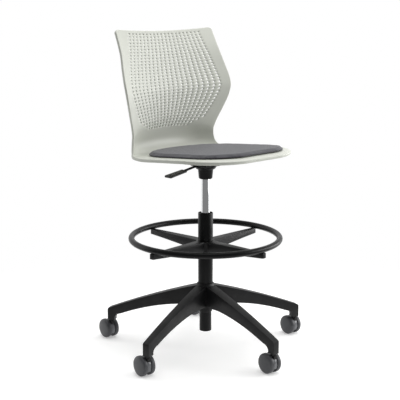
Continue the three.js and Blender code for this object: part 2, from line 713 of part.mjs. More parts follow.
function seatPad() {
  const bevel = 3;
  const half = PAD_HALF_WIDTH - bevel;
  const front = PAD_FRONT - bevel;
  const rear = PAD_REAR + bevel;
  const frontCorner = PAD_FRONT_CORNER - bevel;
  const rearCorner = PAD_REAR_CORNER - bevel;
  const outline = new THREE.Shape();
  outline.absarc(half - frontCorner, -front + frontCorner, frontCorner, -Math.PI / 2, 0);
  outline.absarc(half - rearCorner, -rear - rearCorner, rearCorner, 0, Math.PI / 2);
  outline.absarc(-half + rearCorner, -rear - rearCorner, rearCorner, Math.PI / 2, Math.PI);
  outline.absarc(-half + frontCorner, -front + frontCorner, frontCorner, Math.PI, Math.PI * 1.5);
  const depth = PAD_THICKNESS - 2 * bevel;
  return new THREE.ExtrudeGeometry(outline, {
    depth, bevelThickness: bevel, bevelSize: bevel, bevelSegments: 1, curveSegments: 6,
  }).translate(0, 0, GAP + bevel);
}
piece(raked, "seat_pad", seatPad(), PAD_FABRIC);

// ---- Casters ---------------------------------------------------------------------------------------------

// A wheel stands on a flat of its tread, so its axle is as high as the flat is far from it.
const wheelFlat = WHEEL_RADIUS * Math.cos(Math.PI / WHEEL_SIDES);
const hoodTop = legEndBottom - COLLAR_CLEARANCE;
const wheelInner = HOOD_WIDTH / 2 + GAP;

function wheel(side) {
  const round = 3;
  const outer = wheelInner + WHEEL_WIDTH;
  const half = Math.PI / WHEEL_SIDES;
  const profile = [
    [0, outer],
    [WHEEL_RADIUS - round - 2, outer],
    [WHEEL_RADIUS, outer - round - 1],
    [WHEEL_RADIUS, wheelInner + 1],
    [WHEEL_RADIUS - 1, wheelInner],
    [AXLE_RADIUS + GAP, wheelInner],
    [AXLE_RADIUS + GAP, outer - 3],
    [0, outer - 3],
  ];
  const body = turned(profile.toReversed(), WHEEL_SIDES, half).rotateY(Math.PI / 2);
  if (side < 0) body.rotateZ(Math.PI);
  return body;
}

for (let i = 0; i < LEGS; i++) {
  const turn = (BASE_TURN + (360 / LEGS) * i) * DEG;
  const caster = new THREE.Group();
  caster.position.set(STEM_CIRCLE * Math.cos(turn), STEM_CIRCLE * Math.sin(turn), 0);
  // Inside the group the axle runs along X and the wheels trail towards +Y.
  caster.rotation.z = (CASTER_HEADING - 90) * DEG;
  chair.add(caster);
  const number = i + 1;

  const stemTop = legEndBottom + STEM_LENGTH - 3;
  const sleeve = ring(STEM_RADIUS + GAP, sleeveOuter, legEndBottom + 0.5, stemTop, 12);
  piece(caster, `caster_sleeve_${number}`, sleeve, STEEL);

  const spigotBottom = hoodTop - 14;
  const stem = turned([
    [0, spigotBottom],
    [STEM_SPIGOT_RADIUS, spigotBottom],
    [STEM_SPIGOT_RADIUS, hoodTop + GAP],
    [STEM_COLLAR_RADIUS, hoodTop + GAP],
    [STEM_COLLAR_RADIUS, legEndBottom - GAP],
    [STEM_RADIUS, legEndBottom - GAP],
    [STEM_RADIUS, stemTop - 1],
    [0, stemTop - 1],
  ], 10);
  piece(caster, `caster_stem_${number}`, stem, STEEL);

  const plate = rod(WHEEL_RADIUS - HOOD_INSET, -HOOD_WIDTH / 2, HOOD_WIDTH / 2, 20)
    .rotateY(Math.PI / 2)
    .translate(0, CASTER_TRAIL, wheelFlat);
  const neckReach = 8;
  const neck = block(
    [-HOOD_WIDTH / 2, -neckReach, wheelFlat + 6],
    [HOOD_WIDTH / 2, neckReach, hoodTop],
  );
  const spigotHole = rod(STEM_SPIGOT_RADIUS + GAP, spigotBottom - GAP, hoodTop + 5, 10);
  const axleHole = rod(AXLE_RADIUS + GAP, -HOOD_WIDTH, HOOD_WIDTH)
    .rotateY(Math.PI / 2)
    .translate(0, CASTER_TRAIL, wheelFlat);
  const hood = solid(plate).add(solid(neck)).subtract(solid(spigotHole)).subtract(solid(axleHole));
  piece(caster, `caster_hood_${number}`, geometryOf(hood), HOOD_PLASTIC);

  const axleHalf = wheelInner + WHEEL_WIDTH - 3 - GAP;
  const axle = rod(AXLE_RADIUS, -axleHalf, axleHalf, 12)
    .rotateY(Math.PI / 2)
    .translate(0, CASTER_TRAIL, wheelFlat);
  piece(caster, `caster_axle_${number}`, axle, STEEL);

  for (const [letter, side] of [["a", -1], ["b", 1]]) {
    const body = wheel(side).translate(0, CASTER_TRAIL, wheelFlat);
    piece(caster, `wheel_${number}${letter}`, body, WHEEL_PLASTIC);
  }
}

// ---- Footprint centred on the origin ---------------------------------------------------------------------

chair.updateMatrixWorld(true);
const footprint = new THREE.Box3().setFromObject(chair, true);
const middle = footprint.getCenter(new THREE.Vector3());
chair.position.set(-middle.x, -middle.y, 0);

export default chair;
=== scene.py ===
# Drafting chair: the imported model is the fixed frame, and finer pieces stand on it in the order that the chair
# is put together. Metres, +Z up, the sitter faces -Y and the sitter's left is +X.
import math

import bmesh
import bpy
import numpy as np
from mathutils import Matrix, Vector


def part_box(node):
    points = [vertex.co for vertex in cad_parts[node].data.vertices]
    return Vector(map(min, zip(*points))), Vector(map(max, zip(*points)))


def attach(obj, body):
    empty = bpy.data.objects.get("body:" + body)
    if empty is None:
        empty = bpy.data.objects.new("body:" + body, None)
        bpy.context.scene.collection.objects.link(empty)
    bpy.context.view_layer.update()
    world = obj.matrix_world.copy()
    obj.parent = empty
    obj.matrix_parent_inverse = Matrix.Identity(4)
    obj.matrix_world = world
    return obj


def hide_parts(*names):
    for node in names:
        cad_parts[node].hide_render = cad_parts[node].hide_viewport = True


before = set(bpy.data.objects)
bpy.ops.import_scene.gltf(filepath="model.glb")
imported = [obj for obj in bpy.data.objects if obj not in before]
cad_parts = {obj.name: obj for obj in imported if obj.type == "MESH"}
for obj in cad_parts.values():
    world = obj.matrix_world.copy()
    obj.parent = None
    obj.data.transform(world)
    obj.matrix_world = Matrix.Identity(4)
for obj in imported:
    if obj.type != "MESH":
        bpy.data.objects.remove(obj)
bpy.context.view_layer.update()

# ---- Star base -------------------------------------------------------------------------------------------
# The base is one moulding of glass-filled nylon: five arched legs that meet in a hub, each ending in a round
# boss for a caster stem. The mould leaves flat sides with a fine spark-eroded grain and rounded top edges.

column_low, column_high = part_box("column_tube")
axis = Vector(((column_low.x + column_high.x) / 2, (column_low.y + column_high.y) / 2, 0))
LEGS = 5
first_leg = math.radians(-95.3)  # from +X
mm = 0.001
bore_radius = 23.8  # of a hub round the outer tube


def linear(hex_colour):
    """An sRGB hex colour as the linear RGBA that a shader takes."""
    values = [int(hex_colour[i : i + 2], 16) / 255 for i in (1, 3, 5)]
    return [v / 12.92 if v <= 0.04045 else ((v + 0.055) / 1.055) ** 2.4 for v in values] + [1.0]


def new_material(name):
    """A material with no nodes yet."""
    material = bpy.data.materials.new(name)
    material.use_nodes = True
    material.node_tree.nodes.clear()
    return material


def add(material, kind, inputs=None, **settings):
    """Adds a node. Settings are its own properties; inputs are values, or sockets of other nodes to link."""
    node = material.node_tree.nodes.new(kind)
    for name, value in settings.items():
        setattr(node, name, value)
    for socket, value in (inputs or {}).items():
        if isinstance(value, bpy.types.NodeSocket):
            material.node_tree.links.new(value, node.inputs[socket])
        else:
            node.inputs[socket].default_value = value
    return node


def turn(shape, angle, axis_letter="Z", about=(0, 0, 0)):
    """Turns a bmesh's vertices by an angle in degrees."""
    matrix = Matrix.Rotation(math.radians(angle), 3, axis_letter)
    bmesh.ops.rotate(shape, verts=shape.verts, cent=about, matrix=matrix)


def turned(profile, sides):
    """A lathe-turned solid: the closed outline of [radius, height] pairs, in millimetres, spun round Z."""
    shape = bmesh.new()
    corners = [shape.verts.new((radius * mm, 0, height * mm)) for radius, height in profile]
    rims = [shape.edges.new((a, b)) for a, b in zip(corners, corners[1:] + corners[:1])]
    rims = [e for e in rims if max(v.co.x for v in e.verts) > 1e-7]
    bmesh.ops.spin(
        shape, geom=corners + rims, axis=(0, 0, 1), cent=(0, 0, 0), angle=math.tau, steps=sides, use_merge=True
    )
    bmesh.ops.remove_doubles(shape, verts=shape.verts, dist=1e-6)
    bmesh.ops.recalc_face_normals(shape, faces=shape.faces)
    return shape


def soften(shape, radius, steps=2, sharper_than=30, picked=lambda edge: True):
    """Rounds the picked edges that turn by more than an angle, by a radius in millimetres."""
    edges = [
        e
        for e in shape.edges
        if len(e.link_faces) == 2 and e.calc_face_angle() > math.radians(sharper_than) and picked(e)
    ]
    bmesh.ops.bevel(
        shape, geom=edges, offset=radius * mm, offset_type="OFFSET", affect="EDGES",
        segments=steps, profile=0.5, material=-1, clamp_overlap=True,
    )


def new_verts(geometry):
    """The vertices among what an operator returned."""
    return [v for v in geometry if isinstance(v, bmesh.types.BMVert)]


def spoke(outline, half_width):
    """An upright slab of [reach, height] pairs along +X. Its half width in millimetres depends on the reach."""
    shape = bmesh.new()
    side = shape.faces.new([shape.verts.new((reach * mm, -1, height * mm)) for reach, height in outline])
    other_side = bmesh.ops.extrude_face_region(shape, geom=[side])["geom"]
    bmesh.ops.translate(shape, verts=new_verts(other_side), vec=(0, 2, 0))
    for v in shape.verts:
        v.co.y *= half_width(v.co.x / mm) * mm
    return shape


def repeat_round(shape, count):
    """Trims a spoke to its share of a turn, and copies it round Z into one closed body."""
    for sign in (-1, 1):
        edge_angle = math.radians(sign * 180 / count)
        cut = Vector((-math.sin(edge_angle) * sign, math.cos(edge_angle) * sign, 0))
        bmesh.ops.bisect_plane(
            shape, geom=shape.verts[:] + shape.edges[:] + shape.faces[:], dist=1e-7,
            plane_co=(0, 0, 0), plane_no=cut, clear_outer=True,
        )
    bmesh.ops.spin(
        shape, geom=shape.verts[:] + shape.edges[:] + shape.faces[:], axis=(0, 0, 1), cent=(0, 0, 0),
        angle=math.tau * (count - 1) / count, steps=count - 1, use_duplicate=True,
    )
    bmesh.ops.remove_doubles(shape, verts=shape.verts, dist=2e-6)
    bmesh.ops.recalc_face_normals(shape, faces=shape.faces)


def tapered(reach, start, end, root, tip):
    """A half width that goes evenly from root to tip between two reaches."""
    return root + (tip - root) * min(max((reach - start) / (end - start), 0), 1)


def object_of(shape, name):
    """A bmesh as an object at the origin. The bmesh is freed."""
    mesh = bpy.data.meshes.new(name)
    shape.to_mesh(mesh)
    shape.free()
    thing = bpy.data.objects.new(name, mesh)
    bpy.context.scene.collection.objects.link(thing)
    return thing


def carve(thing, other, operation):
    """Joins another object to this one, or cuts it away, and removes the other."""
    tool = thing.modifiers.new("carve", "BOOLEAN")
    tool.object, tool.operation, tool.solver = other, operation, "EXACT"
    made = bpy.data.meshes.new_from_object(thing.evaluated_get(bpy.context.evaluated_depsgraph_get()))
    thing.modifiers.clear()
    thing.data = made
    bpy.data.objects.remove(other)


def fit(thing, body, nodes, material, sharp=32):
    """Shades a piece smooth between its sharp edges, and puts it on its body in the place of its CAD nodes."""
    thing.data.materials.clear()
    thing.data.materials.append(material)
    thing.data.shade_smooth()
    thing.data.set_sharp_from_angle(angle=math.radians(sharp))
    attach(thing, body)
    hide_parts(*nodes)
    return thing


# Glass-filled nylon, moulded: near-black, with a fine even grain that breaks up the highlights, and slightly
# greyer, smoother skin where hands and shoes have rubbed it.
nylon = new_material("glass_filled_nylon_black")
place = add(nylon, "ShaderNodeTexCoord").outputs["Object"]
# 0.4 mm, coarsened
grain = add(nylon, "ShaderNodeTexNoise", {"Vector": place, "Scale": 1 / (1.1 * mm), "Detail": 2.0})
drift = add(nylon, "ShaderNodeTexNoise", {"Vector": place, "Scale": 1 / (45 * mm), "Detail": 4.0})
rubbed = add(
    nylon, "ShaderNodeMapRange",
    {"Value": drift.outputs["Fac"], "From Min": 0.42, "From Max": 0.72, "To Min": 0.0, "To Max": 1.0},
)
tone = add(
    nylon, "ShaderNodeMix", {0: rubbed.outputs["Result"], 6: linear("#131314"), 7: linear("#1a1a1b")},
    data_type="RGBA",
)
gloss = add(nylon, "ShaderNodeMapRange", {"Value": rubbed.outputs["Result"], "To Min": 0.46, "To Max": 0.38})
bump = add(nylon, "ShaderNodeBump", {"Height": grain.outputs["Fac"], "Strength": 0.35, "Distance": 0.15 * mm})
skin = add(
    nylon, "ShaderNodeBsdfPrincipled",
    {
        "Base Color": tone.outputs[2], "Roughness": gloss.outputs["Result"], "Normal": bump.outputs["Normal"],
        "IOR": 1.5, "Specular IOR Level": 0.22,
    },
)
add(nylon, "ShaderNodeOutputMaterial", {"Surface": skin.outputs["BSDF"]})

leg_reach, boss_radius, boss_bottom = 330.5, 12, 65.5
root_top, root_bottom = 213.5, 140
root_width, tip_width = 17.5, 11  # half widths
taper_start, taper_end = 33, 320
tip_top, crown_reach, crown = 106.5, 325, 25  # the top line, which bows up on its way to the tip
tip_under, arch_start, arch_end, arch = 90.4, 85, 283, 30  # the underside, which arches

outline = []
for i in range(13):
    share = i / 12
    outline.append((crown_reach * share, root_top + (tip_top - root_top) * share + crown * share * (1 - share)))
outline += [(329, 104), (leg_reach, 99), (leg_reach, boss_bottom), (leg_reach - 2 * boss_radius, boss_bottom)]
outline += [(306.5, 73), (304.5, 79), (300, 84), (293, 87.6), (arch_end, tip_under)]
for i in range(1, 10):
    share = i / 9
    reach = arch_end + (arch_start - arch_end) * share
    outline.append((reach, tip_under + (root_bottom - tip_under) * share + arch * share * (1 - share)))
outline.append((0, root_bottom))
leg = spoke(outline, lambda reach: tapered(reach, taper_start, taper_end, root_width, tip_width))
bmesh.ops.recalc_face_normals(leg, faces=leg.faces)
soften(
    leg, 11, 6, 60,
    lambda e: all(v.co.x > (leg_reach - 1) * mm for v in e.verts) and abs(e.verts[0].co.z - e.verts[1].co.z) > 20 * mm,
)
repeat_round(leg, LEGS)
soften(
    leg, 9, 4, 40,
    lambda e: abs(e.verts[0].co.xy.length - 34 * mm) < 2 * mm and abs(e.verts[0].co.z - e.verts[1].co.z) > 30 * mm,
)


def top_edge(e):
    up = [abs(f.normal.z) > 0.75 for f in e.link_faces]
    return up[0] != up[1] and e.calc_length() < 60 * mm and min(v.co.xy.length for v in e.verts) > 30 * mm


soften(leg, 3.2, 3, 45, top_edge)
star = object_of(leg, "star_base_moulding")
hub = turned([[0, 119], [20.5, 119], [22, 121], [22, 136], [30, 139], [30, 206], [26.5, 213.5], [0, 213.5]], 64)
carve(star, object_of(hub, "hub"), "UNION")
bore = turned([[0, 110], [19.6, 110], [19.6, 122], [bore_radius, 209], [bore_radius, 230], [0, 230]], 64)
carve(star, object_of(bore, "bore"), "DIFFERENCE")
star.data.transform(Matrix.Translation(axis) @ Matrix.Rotation(first_leg, 4, "Z"))
fit(star, "base", ["star_base"], nylon, 28)

# ---- Gas lift's outer tube -------------------------------------------------------------------------------
# The outer tube is drawn steel, tapered below to jam in the hub and powder coated satin black. A black guide
# bush is pressed into its mouth, and a steel plate and clip close its foot round the piston rod.

# Powder coat on steel: satin black with a faint orange peel, which shows as soft ripples in the highlights.
coat = new_material("powder_coated_steel_black")
place = add(coat, "ShaderNodeTexCoord").outputs["Object"]
peel = add(coat, "ShaderNodeTexNoise", {"Vector": place, "Scale": 1 / (3.5 * mm), "Detail": 1.5})
dust = add(coat, "ShaderNodeTexNoise", {"Vector": place, "Scale": 1 / (30 * mm), "Detail": 5.0})
gloss = add(
    coat, "ShaderNodeMapRange",
    {"Value": dust.outputs["Fac"], "From Min": 0.3, "From Max": 0.7, "To Min": 0.3, "To Max": 0.4},
)
tone = add(
    coat, "ShaderNodeMix", {0: dust.outputs["Fac"], 6: linear("#050506"), 7: linear("#090a0b")},
    data_type="RGBA",
)
bump = add(coat, "ShaderNodeBump", {"Height": peel.outputs["Fac"], "Strength": 0.25, "Distance": 0.1 * mm})
skin = add(
    coat, "ShaderNodeBsdfPrincipled",
    {
        "Base Color": tone.outputs[2], "Roughness": gloss.outputs["Result"], "Normal": bump.outputs["Normal"],
        "IOR": 1.5, "Specular IOR Level": 0.18,
    },
)
add(coat, "ShaderNodeOutputMaterial", {"Surface": skin.outputs["BSDF"]})

column_top = column_high.z / mm
column_foot = column_low.z / mm
tube = turned(
    [
        [17, column_foot], [19.3, column_foot], [19.3, 122], [23.5, 209], [23.5, column_top],
        [21, column_top], [21, 211], [17, 120],
    ],
    64,
)
soften(tube, 1.1, 3)
tube = object_of(tube, "outer_tube")
tube.data.transform(Matrix.Translation(axis))
fit(tube, "base", ["column_tube"], coat)

bush_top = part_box("guide_bush")[1].z / mm
bush = turned(
    [[14.3, bush_top - 90], [20.7, bush_top - 90], [20.7, bush_top], [17.5, bush_top], [14.3, bush_top - 3.2]],
    64,
)
soften(bush, 0.6, 2)
bush = object_of(bush, "guide_bush_moulding")
bush.data.transform(Matrix.Translation(axis))
fit(bush, "base", ["guide_bush"], nylon)

# Zinc-plated steel: bright grey with a slightly cloudy, bluish passivation and fine turning marks.
zinc = new_material("zinc_plated_steel")
place = add(zinc, "ShaderNodeTexCoord").outputs["Object"]
cloud = add(zinc, "ShaderNodeTexNoise", {"Vector": place, "Scale": 1 / (6 * mm), "Detail": 4.0})
tone = add(
    zinc, "ShaderNodeMix", {0: cloud.outputs["Fac"], 6: linear("#8f9296"), 7: linear("#b3b4b2")},
    data_type="RGBA",
)
gloss = add(zinc, "ShaderNodeMapRange", {"Value": cloud.outputs["Fac"], "To Min": 0.26, "To Max": 0.42})
bump = add(zinc, "ShaderNodeBump", {"Height": cloud.outputs["Fac"], "Strength": 0.1, "Distance": 0.1 * mm})
skin = add(
    zinc, "ShaderNodeBsdfPrincipled",
    {
        "Base Color": tone.outputs[2], "Metallic": 1.0, "Roughness": gloss.outputs["Result"],
        "Normal": bump.outputs["Normal"],
    },
)
add(zinc, "ShaderNodeOutputMaterial", {"Surface": skin.outputs["BSDF"]})

plate_low, plate_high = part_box("column_end_plate")
plate = turned(
    [[5.3, plate_low.z / mm], [16.7, plate_low.z / mm], [16.7, plate_high.z / mm], [5.3, plate_high.z / mm]], 48
)
soften(plate, 0.5, 2)
plate = object_of(plate, "end_plate")
plate.data.transform(Matrix.Translation(axis))
fit(plate, "base", ["column_end_plate"], zinc)

# ---- Foot ring -------------------------------------------------------------------------------------------
# A sitter's feet rest on a bent and welded steel tube, powder coated black. It lies on four tapering arms,
# moulded in one piece with the hub that grips the column, and a screw from below holds it on each arm.

ARMS = 4
ring_low, ring_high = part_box("foot_ring")
ring_tube = (ring_high.z - ring_low.z) / 2
ring_reach = (ring_high.x - ring_low.x) / 2 - ring_tube
ring_centre = (ring_high.z + ring_low.z) / 2
hoop = bmesh.new()
bmesh.ops.create_circle(hoop, segments=20, radius=ring_tube, cap_ends=False)
turn(hoop, 90, "X")
bmesh.ops.translate(hoop, verts=hoop.verts, vec=(ring_reach, 0, ring_centre))
bmesh.ops.spin(
    hoop, geom=hoop.verts[:] + hoop.edges[:], axis=(0, 0, 1), cent=(0, 0, 0), angle=math.tau, steps=144, use_merge=True
)
bmesh.ops.remove_doubles(hoop, verts=hoop.verts, dist=1e-6)
bmesh.ops.recalc_face_normals(hoop, faces=hoop.faces)
hoop = object_of(hoop, "foot_ring_tube")
hoop.data.transform(Matrix.Translation(axis))
fit(hoop, "base", ["foot_ring"], coat)

arm_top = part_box("foot_ring_hub")[1].z / mm
arm_turn = math.radians(2.6)
arm_start, arm_reach = 30, 241
arm_root_width, arm_tip_width = 17, 7.5  # half widths
outline = [
    (0, arm_top), (0, arm_top - 32), (arm_start, arm_top - 32), (100, arm_top - 27), (170, arm_top - 21.5),
    (arm_reach, arm_top - 17), (arm_reach, arm_top), (60, arm_top),
]
arm = spoke(outline, lambda reach: tapered(reach, arm_start, arm_reach, arm_root_width, arm_tip_width))
repeat_round(arm, ARMS)
soften(
    arm, 9, 4, 40,
    lambda e: e.verts[0].co.xy.length < 28 * mm and abs(e.verts[0].co.z - e.verts[1].co.z) > 20 * mm,
)
soften(arm, 1.6, 2, 40, lambda e: min(v.co.xy.length for v in e.verts) > 20 * mm)
arms = object_of(arm, "foot_ring_arms")
grip = turned(
    [
        [0, arm_top - 34], [28.5, arm_top - 34], [29.5, arm_top - 33], [29.5, arm_top - 1], [28.5, arm_top],
        [0, arm_top],
    ],
    64,
)
carve(arms, object_of(grip, "grip"), "UNION")
carve(
    arms, object_of(turned([[0, 290], [bore_radius, 290], [bore_radius, 400], [0, 400]], 64), "bore"),
    "DIFFERENCE",
)
arms.data.transform(Matrix.Translation(axis) @ Matrix.Rotation(arm_turn, 4, "Z"))
fit(arms, "base", ["foot_ring_hub"], nylon, 28)

for i in range(ARMS):
    name = f"ring_screw_{i + 1}"
    low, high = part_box(name)
    screw = turned(
        [
            [0, low.z / mm], [3.2, low.z / mm], [4, low.z / mm + 0.8], [4, low.z / mm + 3], [2, low.z / mm + 3],
            [2, high.z / mm], [0, high.z / mm],
        ],
        20,
    )
    recess = [f for f in screw.faces if f.normal.z < -0.9 and f.calc_center_median().xy.length < 3.2 * mm]
    bmesh.ops.inset_region(screw, faces=recess, thickness=1.4 * mm, use_even_offset=True)
    bmesh.ops.translate(screw, verts=list({v for f in recess for v in f.verts}), vec=(0, 0, 1.3 * mm))
    screw = object_of(screw, f"arm_screw_{i + 1}")
    screw.data.transform(Matrix.Translation(((low.x + high.x) / 2, (low.y + high.y) / 2, 0)))
    fit(screw, "base", [name], zinc)

# ---- Casters ---------------------------------------------------------------------------------------------
# Each twin-wheel caster is a nylon hood with a stem housing, which carries a steel stem above and a steel axle
# below. Two domed wheels are pressed on the axle, and the stem turns in a steel sleeve in the leg's boss.

# Moulded nylon wheel with a soft tread: dark grey, a little glossy where the mould was polished.
wheel_grey = new_material("moulded_nylon_dark_grey")
place = add(wheel_grey, "ShaderNodeTexCoord").outputs["Object"]
scuff = add(
    wheel_grey, "ShaderNodeTexNoise", {"Vector": place, "Scale": 1 / (9 * mm), "Detail": 6.0, "Roughness": 0.6},
)
tone = add(
    wheel_grey, "ShaderNodeMix", {0: scuff.outputs["Fac"], 6: linear("#343538"), 7: linear("#46474a")},
    data_type="RGBA",
)
gloss = add(
    wheel_grey, "ShaderNodeMapRange",
    {"Value": scuff.outputs["Fac"], "From Min": 0.35, "From Max": 0.65, "To Min": 0.34, "To Max": 0.48},
)
bump = add(
    wheel_grey, "ShaderNodeBump", {"Height": scuff.outputs["Fac"], "Strength": 0.15, "Distance": 0.2 * mm},
)
skin = add(
    wheel_grey, "ShaderNodeBsdfPrincipled",
    {
        "Base Color": tone.outputs[2], "Roughness": gloss.outputs["Result"], "Normal": bump.outputs["Normal"],
        "IOR": 1.53, "Specular IOR Level": 0.35,
    },
)
add(wheel_grey, "ShaderNodeOutputMaterial", {"Surface": skin.outputs["BSDF"]})

# Polished moulded hood: mid grey with a wet-looking gloss that catches the light along its crown.
hood_grey = new_material("polished_abs_grey")
place = add(hood_grey, "ShaderNodeTexCoord").outputs["Object"]
haze = add(hood_grey, "ShaderNodeTexNoise", {"Vector": place, "Scale": 1 / (14 * mm), "Detail": 3.0})
tone = add(
    hood_grey, "ShaderNodeMix", {0: haze.outputs["Fac"], 6: linear("#54565a"), 7: linear("#66676a")},
    data_type="RGBA",
)
gloss = add(hood_grey, "ShaderNodeMapRange", {"Value": haze.outputs["Fac"], "To Min": 0.18, "To Max": 0.3})
skin = add(
    hood_grey, "ShaderNodeBsdfPrincipled",
    {"Base Color": tone.outputs[2], "Roughness": gloss.outputs["Result"], "IOR": 1.54},
)
add(hood_grey, "ShaderNodeOutputMaterial", {"Surface": skin.outputs["BSDF"]})

axle_turn = -7  # degrees about +Z from +X
wheel_outer = 23.8  # from the caster's middle to the wheel's outer face
hood_radius, hood_width = 28.75, 13
for n in range(1, LEGS + 1):
    stem_low, stem_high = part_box(f"caster_stem_{n}")
    stem_at = Vector(((stem_low.x + stem_high.x) / 2, (stem_low.y + stem_high.y) / 2, 0))
    left_low, left_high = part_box(f"wheel_{n}a")
    right_low, right_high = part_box(f"wheel_{n}b")
    wheel_at = (left_low + left_high + right_low + right_high) / 4
    wheel_radius = (left_high.z - left_low.z) / 2 / mm

    stem = turned(
        [
            [0, stem_low.z / mm], [4, stem_low.z / mm], [4, 61.3], [8, 61.3], [8, 65.2],
            [5.5, 65.2], [5.5, 90], [4.8, 91], [4.8, 93.5], [5.5, 94.5], [5.5, 96.5],
            [4.5, stem_high.z / mm], [0, stem_high.z / mm],
        ],
        32,
    )
    soften(stem, 0.3, 1)
    stem = object_of(stem, f"caster_{n}_stem")
    stem.data.transform(Matrix.Translation(stem_at))
    fit(stem, f"caster_{n}", [f"caster_stem_{n}"], zinc)

    # The hood is a slice of disc between the wheels, cut off below the axle.
    disc = bmesh.new()
    bmesh.ops.create_circle(disc, cap_ends=True, radius=hood_radius * mm, segments=56)
    out = bmesh.ops.extrude_face_region(disc, geom=disc.faces[:])["geom"]
    bmesh.ops.translate(disc, verts=new_verts(out), vec=(0, 0, hood_width * mm))
    bmesh.ops.translate(disc, verts=disc.verts, vec=(0, 0, -hood_width / 2 * mm))
    turn(disc, 90, "Y")
    bmesh.ops.bisect_plane(
        disc, geom=disc.verts[:] + disc.edges[:] + disc.faces[:], dist=1e-7,
        plane_co=(0, 0, -9 * mm), plane_no=(0, 0.25, -1), clear_outer=True,
    )
    bmesh.ops.contextual_create(disc, geom=[e for e in disc.edges if e.is_boundary])
    bmesh.ops.recalc_face_normals(disc, faces=disc.faces)
    soften(disc, 1.6, 3, 40)
    disc = object_of(disc, f"caster_{n}_hood")
    disc.data.transform(Matrix.Translation(wheel_at) @ Matrix.Rotation(math.radians(axle_turn), 4, "Z"))
    fit(disc, f"caster_{n}", [f"caster_hood_{n}"], hood_grey)

    # The black housing under the leg narrows downwards between the wheels.
    wedge = bmesh.new()
    bmesh.ops.create_cube(wedge, size=1)
    for v in wedge.verts:
        low = v.co.z < 0
        v.co = Vector((v.co.x * (12.6 if low else 13.2), v.co.y * (7 if low else 22), 42 if low else 61)) * mm
    soften(wedge, 1.8, 3)
    wedge = object_of(wedge, f"caster_{n}_housing")
    neck = turned([[0, 58], [8.6, 58], [8.6, 64.6], [8, 65.3], [0, 65.3]], 32)
    carve(wedge, object_of(neck, "neck"), "UNION")
    wedge.data.transform(Matrix.Translation(stem_at) @ Matrix.Rotation(math.radians(axle_turn), 4, "Z"))
    fit(wedge, f"caster_{n}", [f"caster_hood_{n}"], nylon)

    for side, sign in (("a", -1), ("b", 1)):
        wheel = turned(
            [
                [3.05, 8.4], [11, 8.4], [13, 10.5], [24, 10.5], [27, 7.4], [29.5, 6.8], [wheel_radius - 0.6, 7.4],
                [wheel_radius, 9], [wheel_radius, 16], [wheel_radius - 0.8, 18.4], [29, 20.4], [24, 22],
                [16, 23.1], [8, 23.6], [0, wheel_outer], [0, 20.9], [3.05, 20.9],
            ],
            56,
        )
        turn(wheel, 90, "Y")
        wheel = object_of(wheel, f"caster_{n}_wheel_{side}")
        facing = Matrix.Rotation(math.radians(axle_turn + (0 if sign > 0 else 180)), 4, "Z")
        wheel.data.transform(Matrix.Translation(wheel_at) @ facing)
        fit(wheel, f"wheel_{n}{side}", [f"wheel_{n}{side}"], wheel_grey, 40)

# ---- Gas lift's inner tube and seat mount ----------------------------------------------------------------
# The chromed pressure tube slides in the bush and carries the seat. Its tapered top jams in a black socket
# under a pressed steel box, which is welded to a plate that four screws hold to the shell.

# Chrome plate on polished steel: a mirror with very light haze, and fine scratches along the tube's length.
chrome = new_material("chrome_plated_steel")
place = add(chrome, "ShaderNodeTexCoord").outputs["Object"]
along = add(chrome, "ShaderNodeMapping", {"Vector": place, "Scale": (1, 1, 0.04)})
scratch = add(
    chrome, "ShaderNodeTexNoise", {"Vector": along.outputs["Vector"], "Scale": 1 / (1.5 * mm), "Detail": 3.0},
)
gloss = add(chrome, "ShaderNodeMapRange", {"Value": scratch.outputs["Fac"], "To Min": 0.05, "To Max": 0.13})
tone = add(
    chrome, "ShaderNodeMix", {0: scratch.outputs["Fac"], 6: linear("#d2d4d6"), 7: linear("#dedfdf")},
    data_type="RGBA",
)
skin = add(
    chrome, "ShaderNodeBsdfPrincipled",
    {"Base Color": tone.outputs[2], "Metallic": 1.0, "Roughness": gloss.outputs["Result"]},
)
add(chrome, "ShaderNodeOutputMaterial", {"Surface": skin.outputs["BSDF"]})

tube_low, tube_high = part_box("pressure_tube")
inner = turned(
    [
        [12.5, tube_low.z / mm], [14, tube_low.z / mm], [14, tube_high.z / mm], [0, tube_high.z / mm],
        [0, tube_high.z / mm - 16], [12.5, tube_high.z / mm - 16],
    ],
    64,
)
soften(inner, 0.5, 2)
inner = object_of(inner, "inner_tube")
inner.data.transform(Matrix.Translation(axis))
fit(inner, "seat", ["pressure_tube"], chrome)

socket = turned(
    [[14.3, 551], [19, 551], [21.5, 554], [24, 581], [30, 583], [34, 589], [34, 591], [14.3, 591]], 64,
)
soften(socket, 0.7, 2, 25)
socket = object_of(socket, "tapered_socket")
socket.data.transform(Matrix.Translation(axis))
fit(socket, "seat", ["taper_socket"], coat)

rake = math.radians(4.5)
seat_height = 634
plate_centre = axis + Vector((0, 0, seat_height * mm))
up_raked = Vector((0, math.sin(rake), math.cos(rake)))
raked = Matrix.Translation(plate_centre) @ Matrix.Rotation(-rake, 4, "X")
bracket_low, bracket_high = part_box("seat_bracket")
box = bmesh.new()
bmesh.ops.create_cube(box, size=1)
for v in box.verts:
    spread = 1 if v.co.z > 0 else 0.9
    middle = (bracket_low + bracket_high) / 2
    size = bracket_high - bracket_low
    v.co = Vector((
        middle.x + v.co.x * size.x * spread, middle.y + v.co.y * size.y * spread, middle.z + v.co.z * size.z,
    ))
bmesh.ops.bisect_plane(
    box, geom=box.verts[:] + box.edges[:] + box.faces[:], dist=1e-7,
    plane_co=plate_centre - up_raked * 10.35 * mm, plane_no=up_raked, clear_outer=True,
)
bmesh.ops.contextual_create(box, geom=[e for e in box.edges if e.is_boundary])
bmesh.ops.recalc_face_normals(box, faces=box.faces)
soften(box, 3, 3)
fit(object_of(box, "mount_box"), "seat", ["seat_bracket"], coat)

